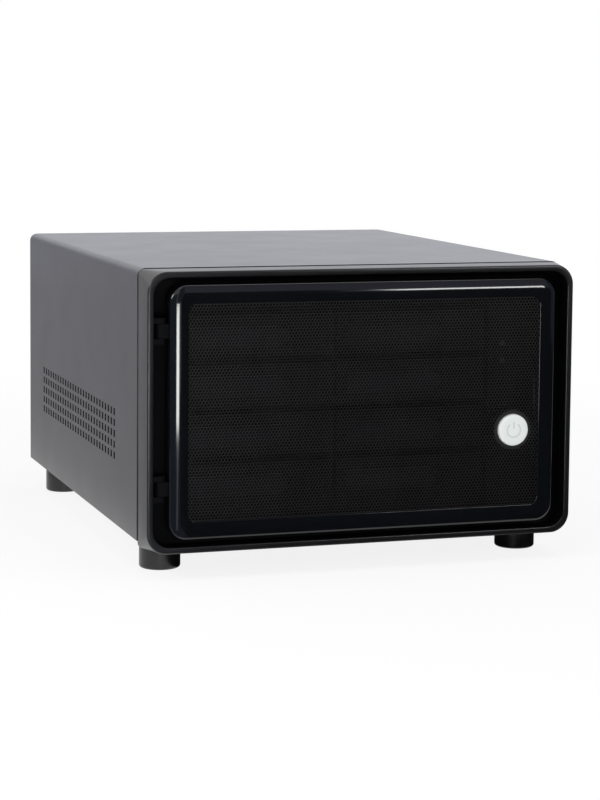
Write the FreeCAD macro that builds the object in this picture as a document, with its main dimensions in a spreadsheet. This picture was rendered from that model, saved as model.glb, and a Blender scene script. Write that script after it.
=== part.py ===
import FreeCAD, Part

import math
import os

import Sketcher

# Desktop computer case: a folded steel chassis and cover, a moulded front bezel with a recessed
# mesh door, eight drive bays behind it and four feet.
# Frame: +Z up, Z = 0 under the feet, X to the right, the front faces -Y, millimetres.
# Depths in the sheet are measured back from the bezel's front lip unless a note says otherwise.

doc = FreeCAD.newDocument("desktop_case")
sheet = doc.addObject("Spreadsheet::Sheet", "Sizes")
sheet.Label = "Sizes"
sheet_row = 0


class Size:
    """A length: its number in millimetres and the sheet formula that gives it."""

    def __init__(self, value, text):
        self.value = value
        self.text = text

    def __add__(self, other):
        other = as_size(other)
        return Size(self.value + other.value, f"({self.text} + {other.text})")

    def __sub__(self, other):
        other = as_size(other)
        return Size(self.value - other.value, f"({self.text} - {other.text})")

    def __mul__(self, other):
        other = as_size(other)
        return Size(self.value * other.value, f"{self.text} * {other.text}")

    def __truediv__(self, other):
        other = as_size(other)
        return Size(self.value / other.value, f"{self.text} / {other.text}")

    def __radd__(self, other):
        return as_size(other) + self

    def __rsub__(self, other):
        return as_size(other) - self

    def __rmul__(self, other):
        return as_size(other) * self

    def __neg__(self):
        return Size(-self.value, f"(0 - {self.text})")


def as_size(number):
    if isinstance(number, Size):
        return number
    return Size(float(number), f"({number})" if number < 0 else f"{number}")


def size(alias, value, note):
    """One driving dimension: a row of the sheet with its name, number and meaning."""
    global sheet_row
    sheet_row += 1
    sheet.set(f"A{sheet_row}", alias)
    sheet.set(f"B{sheet_row}", f"{value}")
    sheet.set(f"C{sheet_row}", note)
    sheet.setAlias(f"B{sheet_row}", alias)
    return Size(float(value), f"Sizes.{alias}")


# Whole case
body_width = size("body_width", 300, "cover, side to side")
body_height = size("body_height", 180, "cover, bottom edge to top")
body_depth = size("body_depth", 375, "bezel lip to the cover's rear flange")
sheet_metal = size("sheet_metal", 1, "thickness of every folded steel sheet")
slip = size("slip", 0.2, "gap between sheets that slide past each other")
cover_radius = size("cover_radius", 5.5, "outside bend at the cover's top edges")
seam = size("seam", 0.6, "dark line between cover and bezel")

# Feet
foot_height = size("foot_height", 22.5, "floor to the chassis pan")
foot_radius = size("foot_radius", 13.9, "foot")
foot_edge = size("foot_edge", 2, "rounding at the foot's bottom")
foot_inset = size("foot_inset", 21, "foot centre in from the cover's side")
foot_front = size("foot_front", 46, "front foot centre behind the lip")
foot_rear = size("foot_rear", 28, "rear foot centre ahead of the cover's rear flange")
screw_radius = size("screw_radius", 1.8, "shank of a power supply screw")
screw_play = size("screw_play", 0.15, "hole radius over the shank")

# Front bezel
bezel_depth = size("bezel_depth", 25, "lip to the seam")
bezel_drop = size("bezel_drop", 5, "bezel below the cover")
bezel_inset = size("bezel_inset", 0.5, "bezel outline inside the cover's")
bezel_front_radius = size("bezel_front_radius", 13.5, "outline corner at the lip")
bezel_rear_radius = size("bezel_rear_radius", 4, "outline corner at the seam")
bezel_edge = size("bezel_edge", 1.2, "rounding of the lip's outer edge")
bezel_wall = size("bezel_wall", 2.5, "bezel wall")
lip_width = size("lip_width", 4.2, "flat face of the lip")
well_radius = size("well_radius", 11.5, "corner of the recess round the door")
well_depth = size("well_depth", 15, "lip to the flange behind the door")
mouth_side = size("mouth_side", 22.5, "flange opening in from the bezel's sides")
mouth_top = size("mouth_top", 17, "flange opening in from the bezel's top and bottom")
mouth_radius = size("mouth_radius", 6, "flange opening corner")
post_width = size("post_width", 7, "bezel fixing post")
post_inset = size("post_inset", 10.5, "bezel fixing post in from the bezel's side")

# Door
door_gap_side = size("door_gap_side", 10, "door to the lip, sides")
door_gap_top = size("door_gap_top", 4.4, "door to the lip, top")
door_gap_bottom = size("door_gap_bottom", 5, "door to the lip, bottom")
door_proud = size("door_proud", 4.5, "door face ahead of the lip")
door_back = size("door_back", 8.5, "door's rear face behind the lip")
door_radius = size("door_radius", 12, "door corner")
door_crown = size("door_crown", 5.2, "rounded outer edge of the door frame")
door_rim = size("door_rim", 12.2, "door frame width seen from the front")
rim_thickness = size("rim_thickness", 1, "lip that holds the mesh from the front")
rim_overlap = size("rim_overlap", 3, "mesh edge under that lip")
mesh_corner = size("mesh_corner", 5.5, "corner of the mesh opening")
mesh_sheet = size("mesh_sheet", 0.8, "perforated sheet")
mesh_pitch = size("mesh_pitch", 18, "hole spacing along a row")
mesh_hole = size("mesh_hole", 7, "half diagonal of a hole")
mesh_border = size("mesh_border", 9, "first hole centre in from the visible edge")
retainer_depth = size("retainer_depth", 4, "clamping frame behind the mesh")

# Hinge: a knuckle of the door between two lugs of the bezel, at two heights
hinge_x = size("hinge_x", 140, "hinge line left of the middle")
hinge_back = size("hinge_back", 3.5, "hinge line behind the lip")
hinge_upper = size("hinge_upper", 141, "upper hinge above the cover's bottom edge")
hinge_lower = size("hinge_lower", 38, "lower hinge above the cover's bottom edge")
hinge_height = size("hinge_height", 17, "a hinge, over both lugs")
lug_thickness = size("lug_thickness", 3.5, "bezel lug")
lug_radius = size("lug_radius", 3.4, "round end of lug and knuckle")
knuckle_play = size("knuckle_play", 0.3, "knuckle to each lug")
knuckle_arm = size("knuckle_arm", 4, "arm from knuckle to door")
pin_radius = size("pin_radius", 1.25, "hinge pin")
pin_play = size("pin_play", 0.05, "knuckle bore radius over the pin")

# Magnetic catch
catch_width = size("catch_width", 6.5, "catch, side to side")
catch_height = size("catch_height", 24, "catch, bottom to top")
catch_plate_thickness = size("catch_plate_thickness", 1, "steel plate in the door")
catch_gap = size("catch_gap", 0.3, "plate to magnet")

# Power button in the door
button_radius = size("button_radius", 10.75, "button face")
button_inset = size("button_inset", 18.5, "button centre in from the mesh opening's right edge")
button_below = size("button_below", 19.4, "button centre under the mesh opening's middle")
button_proud = size("button_proud", 1.5, "button crown ahead of the door face")
button_dome = size("button_dome", 1, "bevel round the button face")
button_travel = size("button_travel", 1.5, "press")
button_play = size("button_play", 0.35, "button to its sleeve")
button_collar = size("button_collar", 1.8, "step that keeps the button in its sleeve")
collar_thickness = size("collar_thickness", 1.6, "that step")
button_stem = size("button_stem", 4, "stem radius")
sleeve_outer = size("sleeve_outer", 15, "sleeve radius")
sleeve_shoulder = size("sleeve_shoulder", 1.5, "sleeve shoulder behind the lip")
mesh_ring = size("mesh_ring", 2.2, "plain ring of mesh round the button hole")
bracket_height = size("bracket_height", 12, "arm from sleeve to mesh clamp")
sleeve_cap = size("sleeve_cap", 1.5, "disc that closes the sleeve")

# Drive cage: two columns of four bays
bay_width = size("bay_width", 107, "bay between walls")
bay_height = size("bay_height", 33, "bay pitch")
bay_rows = 4
cage_left = size("cage_left", 26, "cage wall in from the cover's left side")
cage_base = size("cage_base", 20.5, "cage bottom above the pan's underside")
cage_foot = size("cage_foot", 10, "foot flange of the cage walls")
ledge_width = size("ledge_width", 5, "ledge under a tray's edge")
ledge_thickness = size("ledge_thickness", 1, "ledge")
tray_play = size("tray_play", 0.5, "tray to bay, each side")
tray_gap = size("tray_gap", 4.6, "air slot over a tray's face")
tray_face = size("tray_face", 7, "tray face thickness")
tray_front = size("tray_front", 9, "tray face ahead of the front frame's rear face")
tray_wall = size("tray_wall", 1.9, "tray side wall")
tray_wall_height = size("tray_wall_height", 20, "tray side wall")
tray_floor = size("tray_floor", 2, "tray floor")
drive_length = size("drive_length", 147, "drive that a tray carries")
drive_play = size("drive_play", 0.5, "drive to the tray's face")
lever_length = size("lever_length", 68, "tray lever")
lever_height = size("lever_height", 13, "tray lever")
lever_thickness = size("lever_thickness", 4, "tray lever")
lever_recess = size("lever_recess", 2.5, "recess for the lever in the tray face")
lever_play = size("lever_play", 0.3, "gap round the lever")
light_width = size("light_width", 3, "status light")
board_thickness = size("board_thickness", 1.6, "circuit boards")
socket_width = size("socket_width", 44, "drive socket")
socket_height = size("socket_height", 6, "drive socket")
socket_depth = size("socket_depth", 5, "drive socket")
socket_margin = size("socket_margin", 6, "board beside the sockets")

# Fan on the rear panel
fan_size = size("fan_size", 80, "fan frame, side to side")
fan_depth = size("fan_depth", 25, "fan")
fan_x = size("fan_x", 96, "fan left of the middle")
fan_z = size("fan_z", 128, "fan above the pan's underside")
fan_hub = size("fan_hub", 15.5, "hub radius")
fan_strut = size("fan_strut", 5, "strut that holds the motor")
shaft_radius = size("shaft_radius", 1.5, "fan shaft")
shaft_play = size("shaft_play", 0.05, "bearing radius over the shaft")

# Rear panel
io_width = size("io_width", 158.75, "connector aperture")
io_height = size("io_height", 44.45, "connector aperture")
io_right = size("io_right", 16, "aperture in from the cover's right side")
io_base = size("io_base", 6.3, "aperture above the pan's underside")
psu_hole_x = size("psu_hole_x", 113, "power supply screw spacing, across")
psu_hole_z = size("psu_hole_z", 51.5, "power supply screw spacing, up")
psu_cut_width = size("psu_cut_width", 103, "power supply cut-out")
psu_cut_height = size("psu_cut_height", 58, "power supply cut-out")
psu_x = size("psu_x", 66, "power supply centre right of the middle")
psu_z = size("psu_z", 142.5, "power supply centre above the pan's underside")
slot_x = size("slot_x", 37, "expansion slot left of the middle")
slot_width = size("slot_width", 13, "expansion slot opening")
slot_base = size("slot_base", 10, "slot opening above the pan's underside")
slot_top = size("slot_top", 118, "slot opening above the pan's underside")
slot_cover_width = size("slot_cover_width", 18.4, "slot cover")
slot_lap = size("slot_lap", 4, "slot cover over the opening's lower end")
slot_tab = size("slot_tab", 12, "slot cover above the opening")
flange = size("flange", 12, "folded edges")
thumb_radius = size("thumb_radius", 5, "thumbscrew head")
thumb_head = size("thumb_head", 7, "thumbscrew head behind the cover's flange")
thumb_low = size("thumb_low", 38, "lower thumbscrews above the pan's underside")
thumb_high = size("thumb_high", 148, "upper thumbscrews above the pan's underside")
standoff_height = size("standoff_height", 6.5, "board standoff")
standoff_radius = size("standoff_radius", 3, "board standoff over its corners")
board_rear = size("board_rear", 3, "main board's edge ahead of the cover's rear flange")
board_x = size("board_x", 45, "main board centre right of the middle")
board_holes_x = size("board_holes_x", 157.48, "main board hole spacing across")
board_hole_near = size("board_hole_near", 10.16, "slot-side rear hole from the board's edge")
board_hole_side = size("board_hole_side", 33.02, "other rear hole from the board's edge")
board_hole_far = size("board_hole_far", 165.1, "front holes from the board's rear edge")

grille_slots = 9
grille_bar = size("grille_bar", 2.6, "bar between two slots of the fan grille")
grille_rim = size("grille_rim", 5, "slot ends in from the fan's edge circle")
panel_vents = 6

# Side vents in the cover
vent_width = size("vent_width", 4, "vent along the case")
vent_height = size("vent_height", 4.5, "vent, bottom to top")
vent_pitch = size("vent_pitch", 8.6, "vents along a row")
vent_row_pitch = size("vent_row_pitch", 7.5, "row to row")
vent_count = size("vent_count", 28, "vents in a row")
vent_rows = size("vent_rows", 5, "rows of vents")
vent_rear = size("vent_rear", 54, "rearmost vent ahead of the cover's rear flange")
vent_base = size("vent_base", 47, "lowest row above the cover's bottom edge")

# Places that several pieces share
lip_y = (door_proud + button_proud - body_depth - thumb_head) / 2
half_width = body_width / 2
pan_z = foot_height
floor_z = pan_z + sheet_metal
top_z = pan_z + body_height
inner_top_z = top_z - sheet_metal - slip
inner_x = half_width - sheet_metal - slip
rear_y = lip_y + body_depth
panel_back_y = rear_y - sheet_metal
panel_front_y = panel_back_y - sheet_metal
frame_front_y = lip_y + bezel_depth + seam
frame_back_y = frame_front_y + sheet_metal

bezel_x = half_width - bezel_inset
bezel_bottom_z = pan_z - bezel_drop
bezel_top_z = top_z - bezel_inset
well_x = bezel_x - lip_width
well_bottom_z = bezel_bottom_z + lip_width
well_top_z = bezel_top_z - lip_width
well_floor_y = lip_y + well_depth
mouth_x = bezel_x - mouth_side
mouth_bottom_z = bezel_bottom_z + mouth_top
mouth_top_z = bezel_top_z - mouth_top

door_x = well_x - door_gap_side
door_bottom_z = well_bottom_z + door_gap_bottom
door_top_z = well_top_z - door_gap_top
door_front_y = lip_y - door_proud
door_back_y = lip_y + door_back
view_x = door_x - door_rim
view_bottom_z = door_bottom_z + door_rim
view_top_z = door_top_z - door_rim
seat_x = view_x + rim_overlap
seat_bottom_z = view_bottom_z - rim_overlap
seat_top_z = view_top_z + rim_overlap
mesh_front_y = door_front_y + rim_thickness
mesh_back_y = mesh_front_y + mesh_sheet
button_x = view_x - button_inset
button_z = (view_bottom_z + view_top_z) / 2 - button_below
hinge_y = lip_y + hinge_back
hinge_gap = hinge_height / 2 - lug_thickness

cage_left_x = cage_left - half_width
cage_right_x = cage_left_x + bay_width * 2 + sheet_metal * 3
cage_bottom_z = pan_z + cage_base
bay_floor_z = cage_bottom_z + sheet_metal
bay_top_z = bay_floor_z + bay_height * bay_rows
tray_face_y = frame_back_y - tray_front
tray_height = bay_height - ledge_thickness - tray_gap
cage_back_y = tray_face_y + tray_face + drive_play + drive_length + socket_depth
bay_middle_x = (cage_left_x + sheet_metal + bay_width / 2, cage_right_x - sheet_metal - bay_width / 2)
fan_y = panel_front_y - fan_depth


def start_body(label):
    body = doc.addObject("PartDesign::Body", label)
    body.Label = label
    return body


def origin_part(body, role):
    return next(f for f in body.Origin.OriginFeatures if f.Role == role)


def new_sketch(body, plane, level):
    """An empty sketch on a plane parallel to one of the body's origin planes.

    The level is the plane's place along X, Y or Z; the XZ plane faces -Y, so its offset is turned.
    """
    sketch = body.newObject("Sketcher::SketchObject", f"{body.Label}_sketch")
    sketch.AttachmentSupport = [(origin_part(body, plane), "")]
    sketch.MapMode = "FlatFace"
    offset = -as_size(level) if plane == "XZ_Plane" else as_size(level)
    sketch.setExpression(".AttachmentOffset.Base.z", offset.text)
    sketch.AttachmentOffset = FreeCAD.Placement(
        FreeCAD.Vector(0, 0, offset.value), FreeCAD.Rotation()
    )
    return sketch


def bind(sketch, kind, where, amount):
    """A sketch dimension that follows the sheet."""
    amount = as_size(amount)
    index = sketch.addConstraint(Sketcher.Constraint(kind, *where, amount.value))
    sketch.setExpression(f"Constraints[{index}]", amount.text)


def pin_point(sketch, curve, end, u, v):
    bind(sketch, "DistanceX", (-1, 1, curve, end), u)
    bind(sketch, "DistanceY", (-1, 1, curve, end), v)


def arc_between(start, finish, radius):
    """The short arc between two points; it bulges left of the way it goes, or right if radius < 0."""
    chord = finish - start
    half = chord.Length / 2
    side = FreeCAD.Vector(-chord.y, chord.x, 0).normalize() * math.copysign(1, radius)
    rise = abs(radius) - math.sqrt(max(radius**2 - half**2, 0))
    return Part.Arc(start, (start + finish) / 2 + side * rise, finish)


def outline(sketch, points):
    """A closed outline through (u, v) points; a third number is the radius of the edge to the next.

    A positive radius bulges to the left of the way the outline goes, a negative one to the right.
    """
    places = [FreeCAD.Vector(as_size(p[0]).value, as_size(p[1]).value, 0) for p in points]
    first = sketch.GeometryCount
    turned = []
    for i, start in enumerate(places):
        finish = places[(i + 1) % len(places)]
        if len(points[i]) > 2:
            radius = as_size(points[i][2]).value
            sketch.addGeometry(arc_between(start, finish, radius), False)
            turned.append(radius > 0)
        else:
            sketch.addGeometry(Part.LineSegment(start, finish), False)
            turned.append(False)
    for i, point in enumerate(points):
        before = (i - 1) % len(points)
        this_end = 2 if turned[i] else 1
        that_end = 1 if turned[before] else 2
        sketch.addConstraint(
            Sketcher.Constraint("Coincident", first + before, that_end, first + i, this_end)
        )
        pin_point(sketch, first + i, this_end, point[0], point[1])
        if len(point) > 2:
            after = points[(i + 1) % len(points)]
            radius = as_size(point[2]) if turned[i] else -as_size(point[2])
            if near((places[i] - places[(i + 1) % len(places)]).Length, radius * 2):
                centre = (as_size(point[0]) + after[0]) / 2, (as_size(point[1]) + after[1]) / 2
                upright = near(places[i].x, after[0])
                kind, amount = ("DistanceX", centre[0]) if upright else ("DistanceY", centre[1])
                bind(sketch, kind, (-1, 1, first + i, 3), amount)
            else:
                bind(sketch, "Radius", (first + i,), radius)


def rectangle(sketch, left, right, bottom, top):
    outline(sketch, [(left, bottom), (right, bottom), (right, top), (left, top)])


def round_rectangle(sketch, left, right, bottom, top, radius):
    """A rectangle with rounded corners: eight curves in a row, so that two of them loft evenly."""
    corners = [
        ((right - radius, bottom), (right, bottom + radius)),
        ((right, top - radius), (right - radius, top)),
        ((left + radius, top), (left, top - radius)),
        ((left, bottom + radius), (left + radius, bottom)),
    ]
    points = []
    for start, finish in corners:
        points += [(*start, "corner"), finish]
    places = [FreeCAD.Vector(as_size(p[0]).value, as_size(p[1]).value, 0) for p in points]
    first = sketch.GeometryCount
    for i, point in enumerate(points):
        start, finish = places[i], places[(i + 1) % len(places)]
        if len(point) > 2:
            chord = finish - start
            outward = FreeCAD.Vector(chord.y, -chord.x, 0).normalize()
            rise = as_size(radius).value * (1 - math.sqrt(0.5))
            sketch.addGeometry(Part.Arc(start, (start + finish) / 2 + outward * rise, finish), False)
        else:
            sketch.addGeometry(Part.LineSegment(start, finish), False)
    for i, point in enumerate(points):
        before = (i - 1) % len(points)
        sketch.addConstraint(Sketcher.Constraint("Coincident", first + before, 2, first + i, 1))
        pin_point(sketch, first + i, 1, point[0], point[1])
        if len(point) > 2:
            bind(sketch, "Radius", (first + i,), radius)


def circle(sketch, u, v, radius):
    centre = FreeCAD.Vector(as_size(u).value, as_size(v).value, 0)
    ring = Part.Circle(centre, FreeCAD.Vector(0, 0, 1), as_size(radius).value)
    index = sketch.addGeometry(ring, False)
    pin_point(sketch, index, 3, u, v)
    bind(sketch, "Radius", (index,), radius)


def extrude(body, sketch, kind, length):
    feature = body.newObject(f"PartDesign::{kind}", f"{body.Label}_{kind.lower()}")
    feature.Profile = sketch
    length = as_size(length)
    feature.Length = length.value
    feature.setExpression("Length", length.text)
    body.Tip = feature
    return feature


def slab(body, front_y, back_y, draw):
    """Material between two depths, in the outline that draw puts on an XZ sketch."""
    sketch = new_sketch(body, "XZ_Plane", back_y)
    draw(sketch)
    return extrude(body, sketch, "Pad", back_y - front_y)


def hollow(body, front_y, back_y, draw):
    """A pocket between two depths."""
    sketch = new_sketch(body, "XZ_Plane", front_y)
    draw(sketch)
    return extrude(body, sketch, "Pocket", back_y - front_y)


def layer(body, low_z, high_z, draw):
    """Material between two heights, in the outline that draw puts on an XY sketch."""
    sketch = new_sketch(body, "XY_Plane", low_z)
    draw(sketch)
    return extrude(body, sketch, "Pad", high_z - low_z)


def sink(body, low_z, high_z, draw):
    """A pocket between two heights."""
    sketch = new_sketch(body, "XY_Plane", high_z)
    draw(sketch)
    return extrude(body, sketch, "Pocket", high_z - low_z)


def box(body, left, right, front_y, back_y, bottom, top):
    return slab(body, front_y, back_y, lambda s: rectangle(s, left, right, bottom, top))


def box_cut(body, left, right, front_y, back_y, bottom, top):
    return hollow(body, front_y, back_y, lambda s: rectangle(s, left, right, bottom, top))


def revolve(body, plane, axis, points, kind="Revolution"):
    """A turned form: its half outline on a plane through the axis."""
    sketch = new_sketch(body, plane, 0)
    outline(sketch, points)
    feature = body.newObject(f"PartDesign::{kind}", f"{body.Label}_{kind.lower()}")
    feature.Profile = sketch
    feature.ReferenceAxis = (origin_part(body, axis), [""])
    feature.Angle = 360
    body.Tip = feature
    return feature


def repeat(body, feature, axis, pitch, count, axis_two=None, pitch_two=None, count_two=None):
    """Copies of a feature in a row, or in rows and columns."""
    pattern = body.newObject("PartDesign::LinearPattern", f"{body.Label}_pattern")
    pattern.Originals = [feature]
    spread(pattern, "", origin_part(body, axis), pitch, count)
    if axis_two:
        spread(pattern, "2", origin_part(body, axis_two), pitch_two, count_two)
    body.Tip = pattern
    return pattern


def spread(pattern, suffix, axis, pitch, count):
    """One direction of a pattern: so many copies, a pitch apart."""
    count = as_size(count)
    reach = as_size(pitch) * (count - 1)
    setattr(pattern, f"Direction{suffix}", (axis, [""]))
    setattr(pattern, f"Length{suffix}", reach.value)
    pattern.setExpression(f"Length{suffix}", reach.text)
    setattr(pattern, f"Occurrences{suffix}", int(count.value))
    pattern.setExpression(f"Occurrences{suffix}", count.text)


def soften(body, radius, chosen, kind="Fillet"):
    """A fillet or chamfer on the edges that chosen picks by their place."""
    doc.recompute()
    base = body.Tip
    names = [f"Edge{i}" for i, edge in enumerate(base.Shape.Edges, 1) if chosen(edge)]
    feature = body.newObject(f"PartDesign::{kind}", f"{body.Label}_{kind.lower()}")
    feature.Base = (base, names)
    radius = as_size(radius)
    field = "Radius" if kind == "Fillet" else "Size"
    setattr(feature, field, radius.value)
    feature.setExpression(field, radius.text)
    body.Tip = feature
    return feature


def near(a, b):
    return abs(a - as_size(b).value) < 0.01


def edge_at(edge, x=None, y=None, z=None):
    """Whether the whole edge lies at the given X, Y or Z."""
    bounds = edge.BoundBox
    tests = ((x, bounds.XMin, bounds.XMax), (y, bounds.YMin, bounds.YMax), (z, bounds.ZMin, bounds.ZMax))
    return all(level is None or (near(low, level) and near(high, level)) for level, low, high in tests)


def beside(edge, distance):
    """Whether an edge runs straight along the case at this distance left or right of the middle."""
    return edge_at(edge, x=distance) or edge_at(edge, x=-distance)


def place(body, x, y, z):
    for axis, amount in zip("xyz", (x, y, z)):
        amount = as_size(amount)
        body.setExpression(f".Placement.Base.{axis}", amount.text)


# Chassis

def make_pan():
    """Floor sheet with its two long edges folded up inside the cover."""
    pan = start_body("chassis_pan")
    rim_z = floor_z + flange
    profile = [
        (-inner_x, pan_z),
        (inner_x, pan_z),
        (inner_x, rim_z),
        (inner_x - sheet_metal, rim_z),
        (inner_x - sheet_metal, floor_z),
        (sheet_metal - inner_x, floor_z),
        (sheet_metal - inner_x, rim_z),
        (-inner_x, rim_z),
    ]
    slab(pan, frame_back_y, panel_front_y, lambda s: outline(s, profile))
    soften(pan, sheet_metal * 0.8, lambda e: edge_at(e, z=pan_z) and beside(e, inner_x))


def make_cover():
    """U-shaped cover: top and sides from one sheet, vents in the left side, rear screw flanges."""
    cover = start_body("top_cover")
    inside_x = half_width - sheet_metal
    inside_top = top_z - sheet_metal
    profile = [
        (-half_width, pan_z),
        (-inside_x, pan_z),
        (-inside_x, inside_top),
        (inside_x, inside_top),
        (inside_x, pan_z),
        (half_width, pan_z),
        (half_width, top_z),
        (-half_width, top_z),
    ]
    slab(cover, frame_front_y, rear_y, lambda s: outline(s, profile))
    soften(cover, cover_radius, lambda e: edge_at(e, z=top_z) and beside(e, half_width))
    soften(cover, cover_radius - sheet_metal, lambda e: edge_at(e, z=inside_top) and beside(e, inside_x))
    for side in (-1, 1):
        ends = sorted((inside_x * side, (inside_x - flange) * side), key=lambda s: s.value)
        fold_low, fold_high = pan_z + flange / 2, top_z - flange / 2
        box(cover, ends[0], ends[1], panel_back_y, rear_y, fold_low, fold_high)

    vents = new_sketch(cover, "YZ_Plane", -inside_x)
    rear_vent_y = rear_y - vent_rear
    front_vent_y = rear_vent_y - vent_pitch * (vent_count - 1)
    low = pan_z + vent_base - vent_height / 2
    rectangle(vents, front_vent_y - vent_width / 2, front_vent_y + vent_width / 2, low, low + vent_height)
    first = extrude(cover, vents, "Pocket", sheet_metal)
    repeat(cover, first, "Y_Axis", vent_pitch, vent_count, "Z_Axis", vent_row_pitch, vent_rows)


def make_thumbscrews():
    """Heads of the four thumbscrews that hold the cover's rear flanges."""
    screws = start_body("cover_thumbscrews")
    across = half_width - sheet_metal - flange / 2
    grips = 12

    def heads(sketch):
        for side in (-1, 1):
            for up in (thumb_low, thumb_high):
                corners = []
                for i in range(grips):
                    turn = math.tau * i / grips
                    x = across * side + thumb_radius * round(math.cos(turn), 6)
                    z = pan_z + up + thumb_radius * round(math.sin(turn), 6)
                    corners.append((x, z))
                outline(sketch, corners)

    slab(screws, rear_y, rear_y + thumb_head, heads)


def wall_sheet(body, half, front_y, back_y):
    """Upright sheet across the chassis; its top corners clear the cover's inner bends."""
    cut = cover_radius * 0.7
    slab(body, front_y, back_y, lambda s: outline(s, [
        (-half, floor_z),
        (half, floor_z),
        (half, inner_top_z - cut),
        (half - cut, inner_top_z),
        (cut - half, inner_top_z),
        (-half, inner_top_z - cut),
    ]))


def make_rear_panel():
    """Rear wall: connector aperture, power supply cut-out, slot, fan grille and vents."""
    panel = start_body("rear_panel")
    wall_sheet(panel, inner_x, panel_front_y, panel_back_y)
    fold = flange / 2
    for low in (floor_z, inner_top_z - sheet_metal):
        box(panel, flange - inner_x, inner_x - flange, panel_front_y - fold, panel_front_y, low,
            low + sheet_metal)

    cuts = new_sketch(panel, "XZ_Plane", panel_front_y)
    io_right_x = half_width - io_right
    rectangle(cuts, io_right_x - io_width, io_right_x, pan_z + io_base, pan_z + io_base + io_height)
    psu_centre = pan_z + psu_z
    rectangle(cuts, psu_x - psu_cut_width / 2, psu_x + psu_cut_width / 2,
              psu_centre - psu_cut_height / 2, psu_centre + psu_cut_height / 2)
    rectangle(cuts, -slot_x - slot_width / 2, slot_width / 2 - slot_x, pan_z + slot_base,
              pan_z + slot_top)
    hole = screw_radius + screw_play
    for across in (-1, 1):
        for up in (-1, 1):
            circle(cuts, psu_x + psu_hole_x / 2 * across, psu_centre + psu_hole_z / 2 * up, hole)
    extrude(panel, cuts, "Pocket", sheet_metal)

    # Fan grille: upright slots whose ends follow the fan's circle
    grille = new_sketch(panel, "XZ_Plane", panel_front_y)
    reach = fan_size / 2 - grille_rim
    pitch = fan_size / (grille_slots + 1)
    opening = (pitch - grille_bar) / 2
    for i in range(grille_slots):
        across = pitch * (i - grille_slots // 2)
        share = math.sqrt(1 - (across.value / reach.value) ** 2)
        half = reach * round(share, 4)
        middle = across - fan_x
        rectangle(grille, middle - opening, middle + opening, pan_z + fan_z - half, pan_z + fan_z + half)
    extrude(panel, grille, "Pocket", sheet_metal)

    # Plain vents under the fan
    vent_left = -fan_x - fan_size / 2 + sheet_metal
    vents = box_cut(panel, vent_left, vent_left + vent_width, panel_front_y, panel_back_y,
                    pan_z + flange, pan_z + fan_z - fan_size / 2 - flange)
    repeat(panel, vents, "X_Axis", vent_pitch, panel_vents)


def make_slot_cover():
    """Blanking plate inside the expansion slot, folded along one edge."""
    plate = start_body("slot_cover")
    left = -slot_x - slot_cover_width / 2
    right = left + slot_cover_width
    bottom = pan_z + slot_base - slot_lap
    top = pan_z + slot_top + slot_tab
    box(plate, left, right, panel_front_y - sheet_metal, panel_front_y, bottom, top)
    box(plate, left, left + sheet_metal, panel_front_y - sheet_metal * 4, panel_front_y - sheet_metal,
        bottom, top - slot_tab)


def make_front_frame():
    """Front wall of the chassis: an opening for the drives and folded edges top and bottom."""
    frame = start_body("front_frame")
    wall_sheet(frame, inner_x, frame_front_y, frame_back_y)
    leg_gap = sheet_metal + cage_foot + slip
    box(frame, cage_left_x + leg_gap, cage_right_x - leg_gap, frame_back_y, frame_back_y + flange,
        floor_z, floor_z + sheet_metal)
    box(frame, flange - inner_x, inner_x - flange, frame_back_y, frame_back_y + flange,
        inner_top_z - sheet_metal, inner_top_z)
    box_cut(frame, cage_left_x + sheet_metal, cage_right_x - sheet_metal, frame_front_y, frame_back_y,
            bay_floor_z, bay_top_z)


# Bezel and feet


def make_bezel():
    """Moulded ring: its outline changes from tight corners at the seam to round ones at the lip."""
    bezel = start_body("front_bezel")
    sections = []
    for depth, inset, radius in (
        (bezel_depth, as_size(0), bezel_rear_radius),
        (bezel_edge, as_size(0), bezel_front_radius),
        (bezel_edge * 0.3, bezel_edge * 0.3, bezel_front_radius - bezel_edge * 0.3),
        (as_size(0), bezel_edge, bezel_front_radius - bezel_edge),
    ):
        section = new_sketch(bezel, "XZ_Plane", lip_y + depth)
        round_rectangle(section, inset - bezel_x, bezel_x - inset, bezel_bottom_z + inset,
                        bezel_top_z - inset, radius)
        sections.append(section)
    loft = bezel.newObject("PartDesign::AdditiveLoft", "bezel_loft")
    loft.Profile = sections[0]
    loft.Sections = sections[1:]
    loft.Ruled = True
    bezel.Tip = loft

    hollow(bezel, lip_y, well_floor_y,
           lambda s: round_rectangle(s, -well_x, well_x, well_bottom_z, well_top_z, well_radius))
    wall_x = bezel_x - bezel_wall
    wall_bottom = bezel_bottom_z + bezel_wall
    wall_top = bezel_top_z - bezel_wall
    flange_back = well_floor_y + bezel_wall
    hollow(bezel, well_floor_y, flange_back,
           lambda s: round_rectangle(s, -mouth_x, mouth_x, mouth_bottom_z, mouth_top_z, mouth_radius))
    hollow(bezel, flange_back, lip_y + bezel_depth,
           lambda s: round_rectangle(s, -wall_x, wall_x, wall_bottom, wall_top, bezel_rear_radius))

    # Hinge lugs stand out of the left wall of the recess
    for level in (hinge_upper, hinge_lower):
        for low in (pan_z + level - hinge_height / 2, pan_z + level + hinge_gap):
            layer(bezel, low, low + lug_thickness, draw_lug)
        sink(bezel, pan_z + level - hinge_height / 2, pan_z + level + hinge_height / 2,
             lambda s: circle(s, -hinge_x, hinge_y, pin_radius))

    # Posts behind the flange carry the bezel on the front frame
    posts = new_sketch(bezel, "XZ_Plane", frame_front_y)
    middle_z = (bezel_bottom_z + bezel_top_z) / 2
    for side in (-1, 1):
        for up in (-1, 1):
            x, z = (bezel_x - post_inset) * side, middle_z + body_height / 3 * up
            rectangle(posts, x - post_width / 2, x + post_width / 2, z - post_width / 2, z + post_width / 2)
    extrude(bezel, posts, "Pad", frame_front_y - flange_back)


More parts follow.
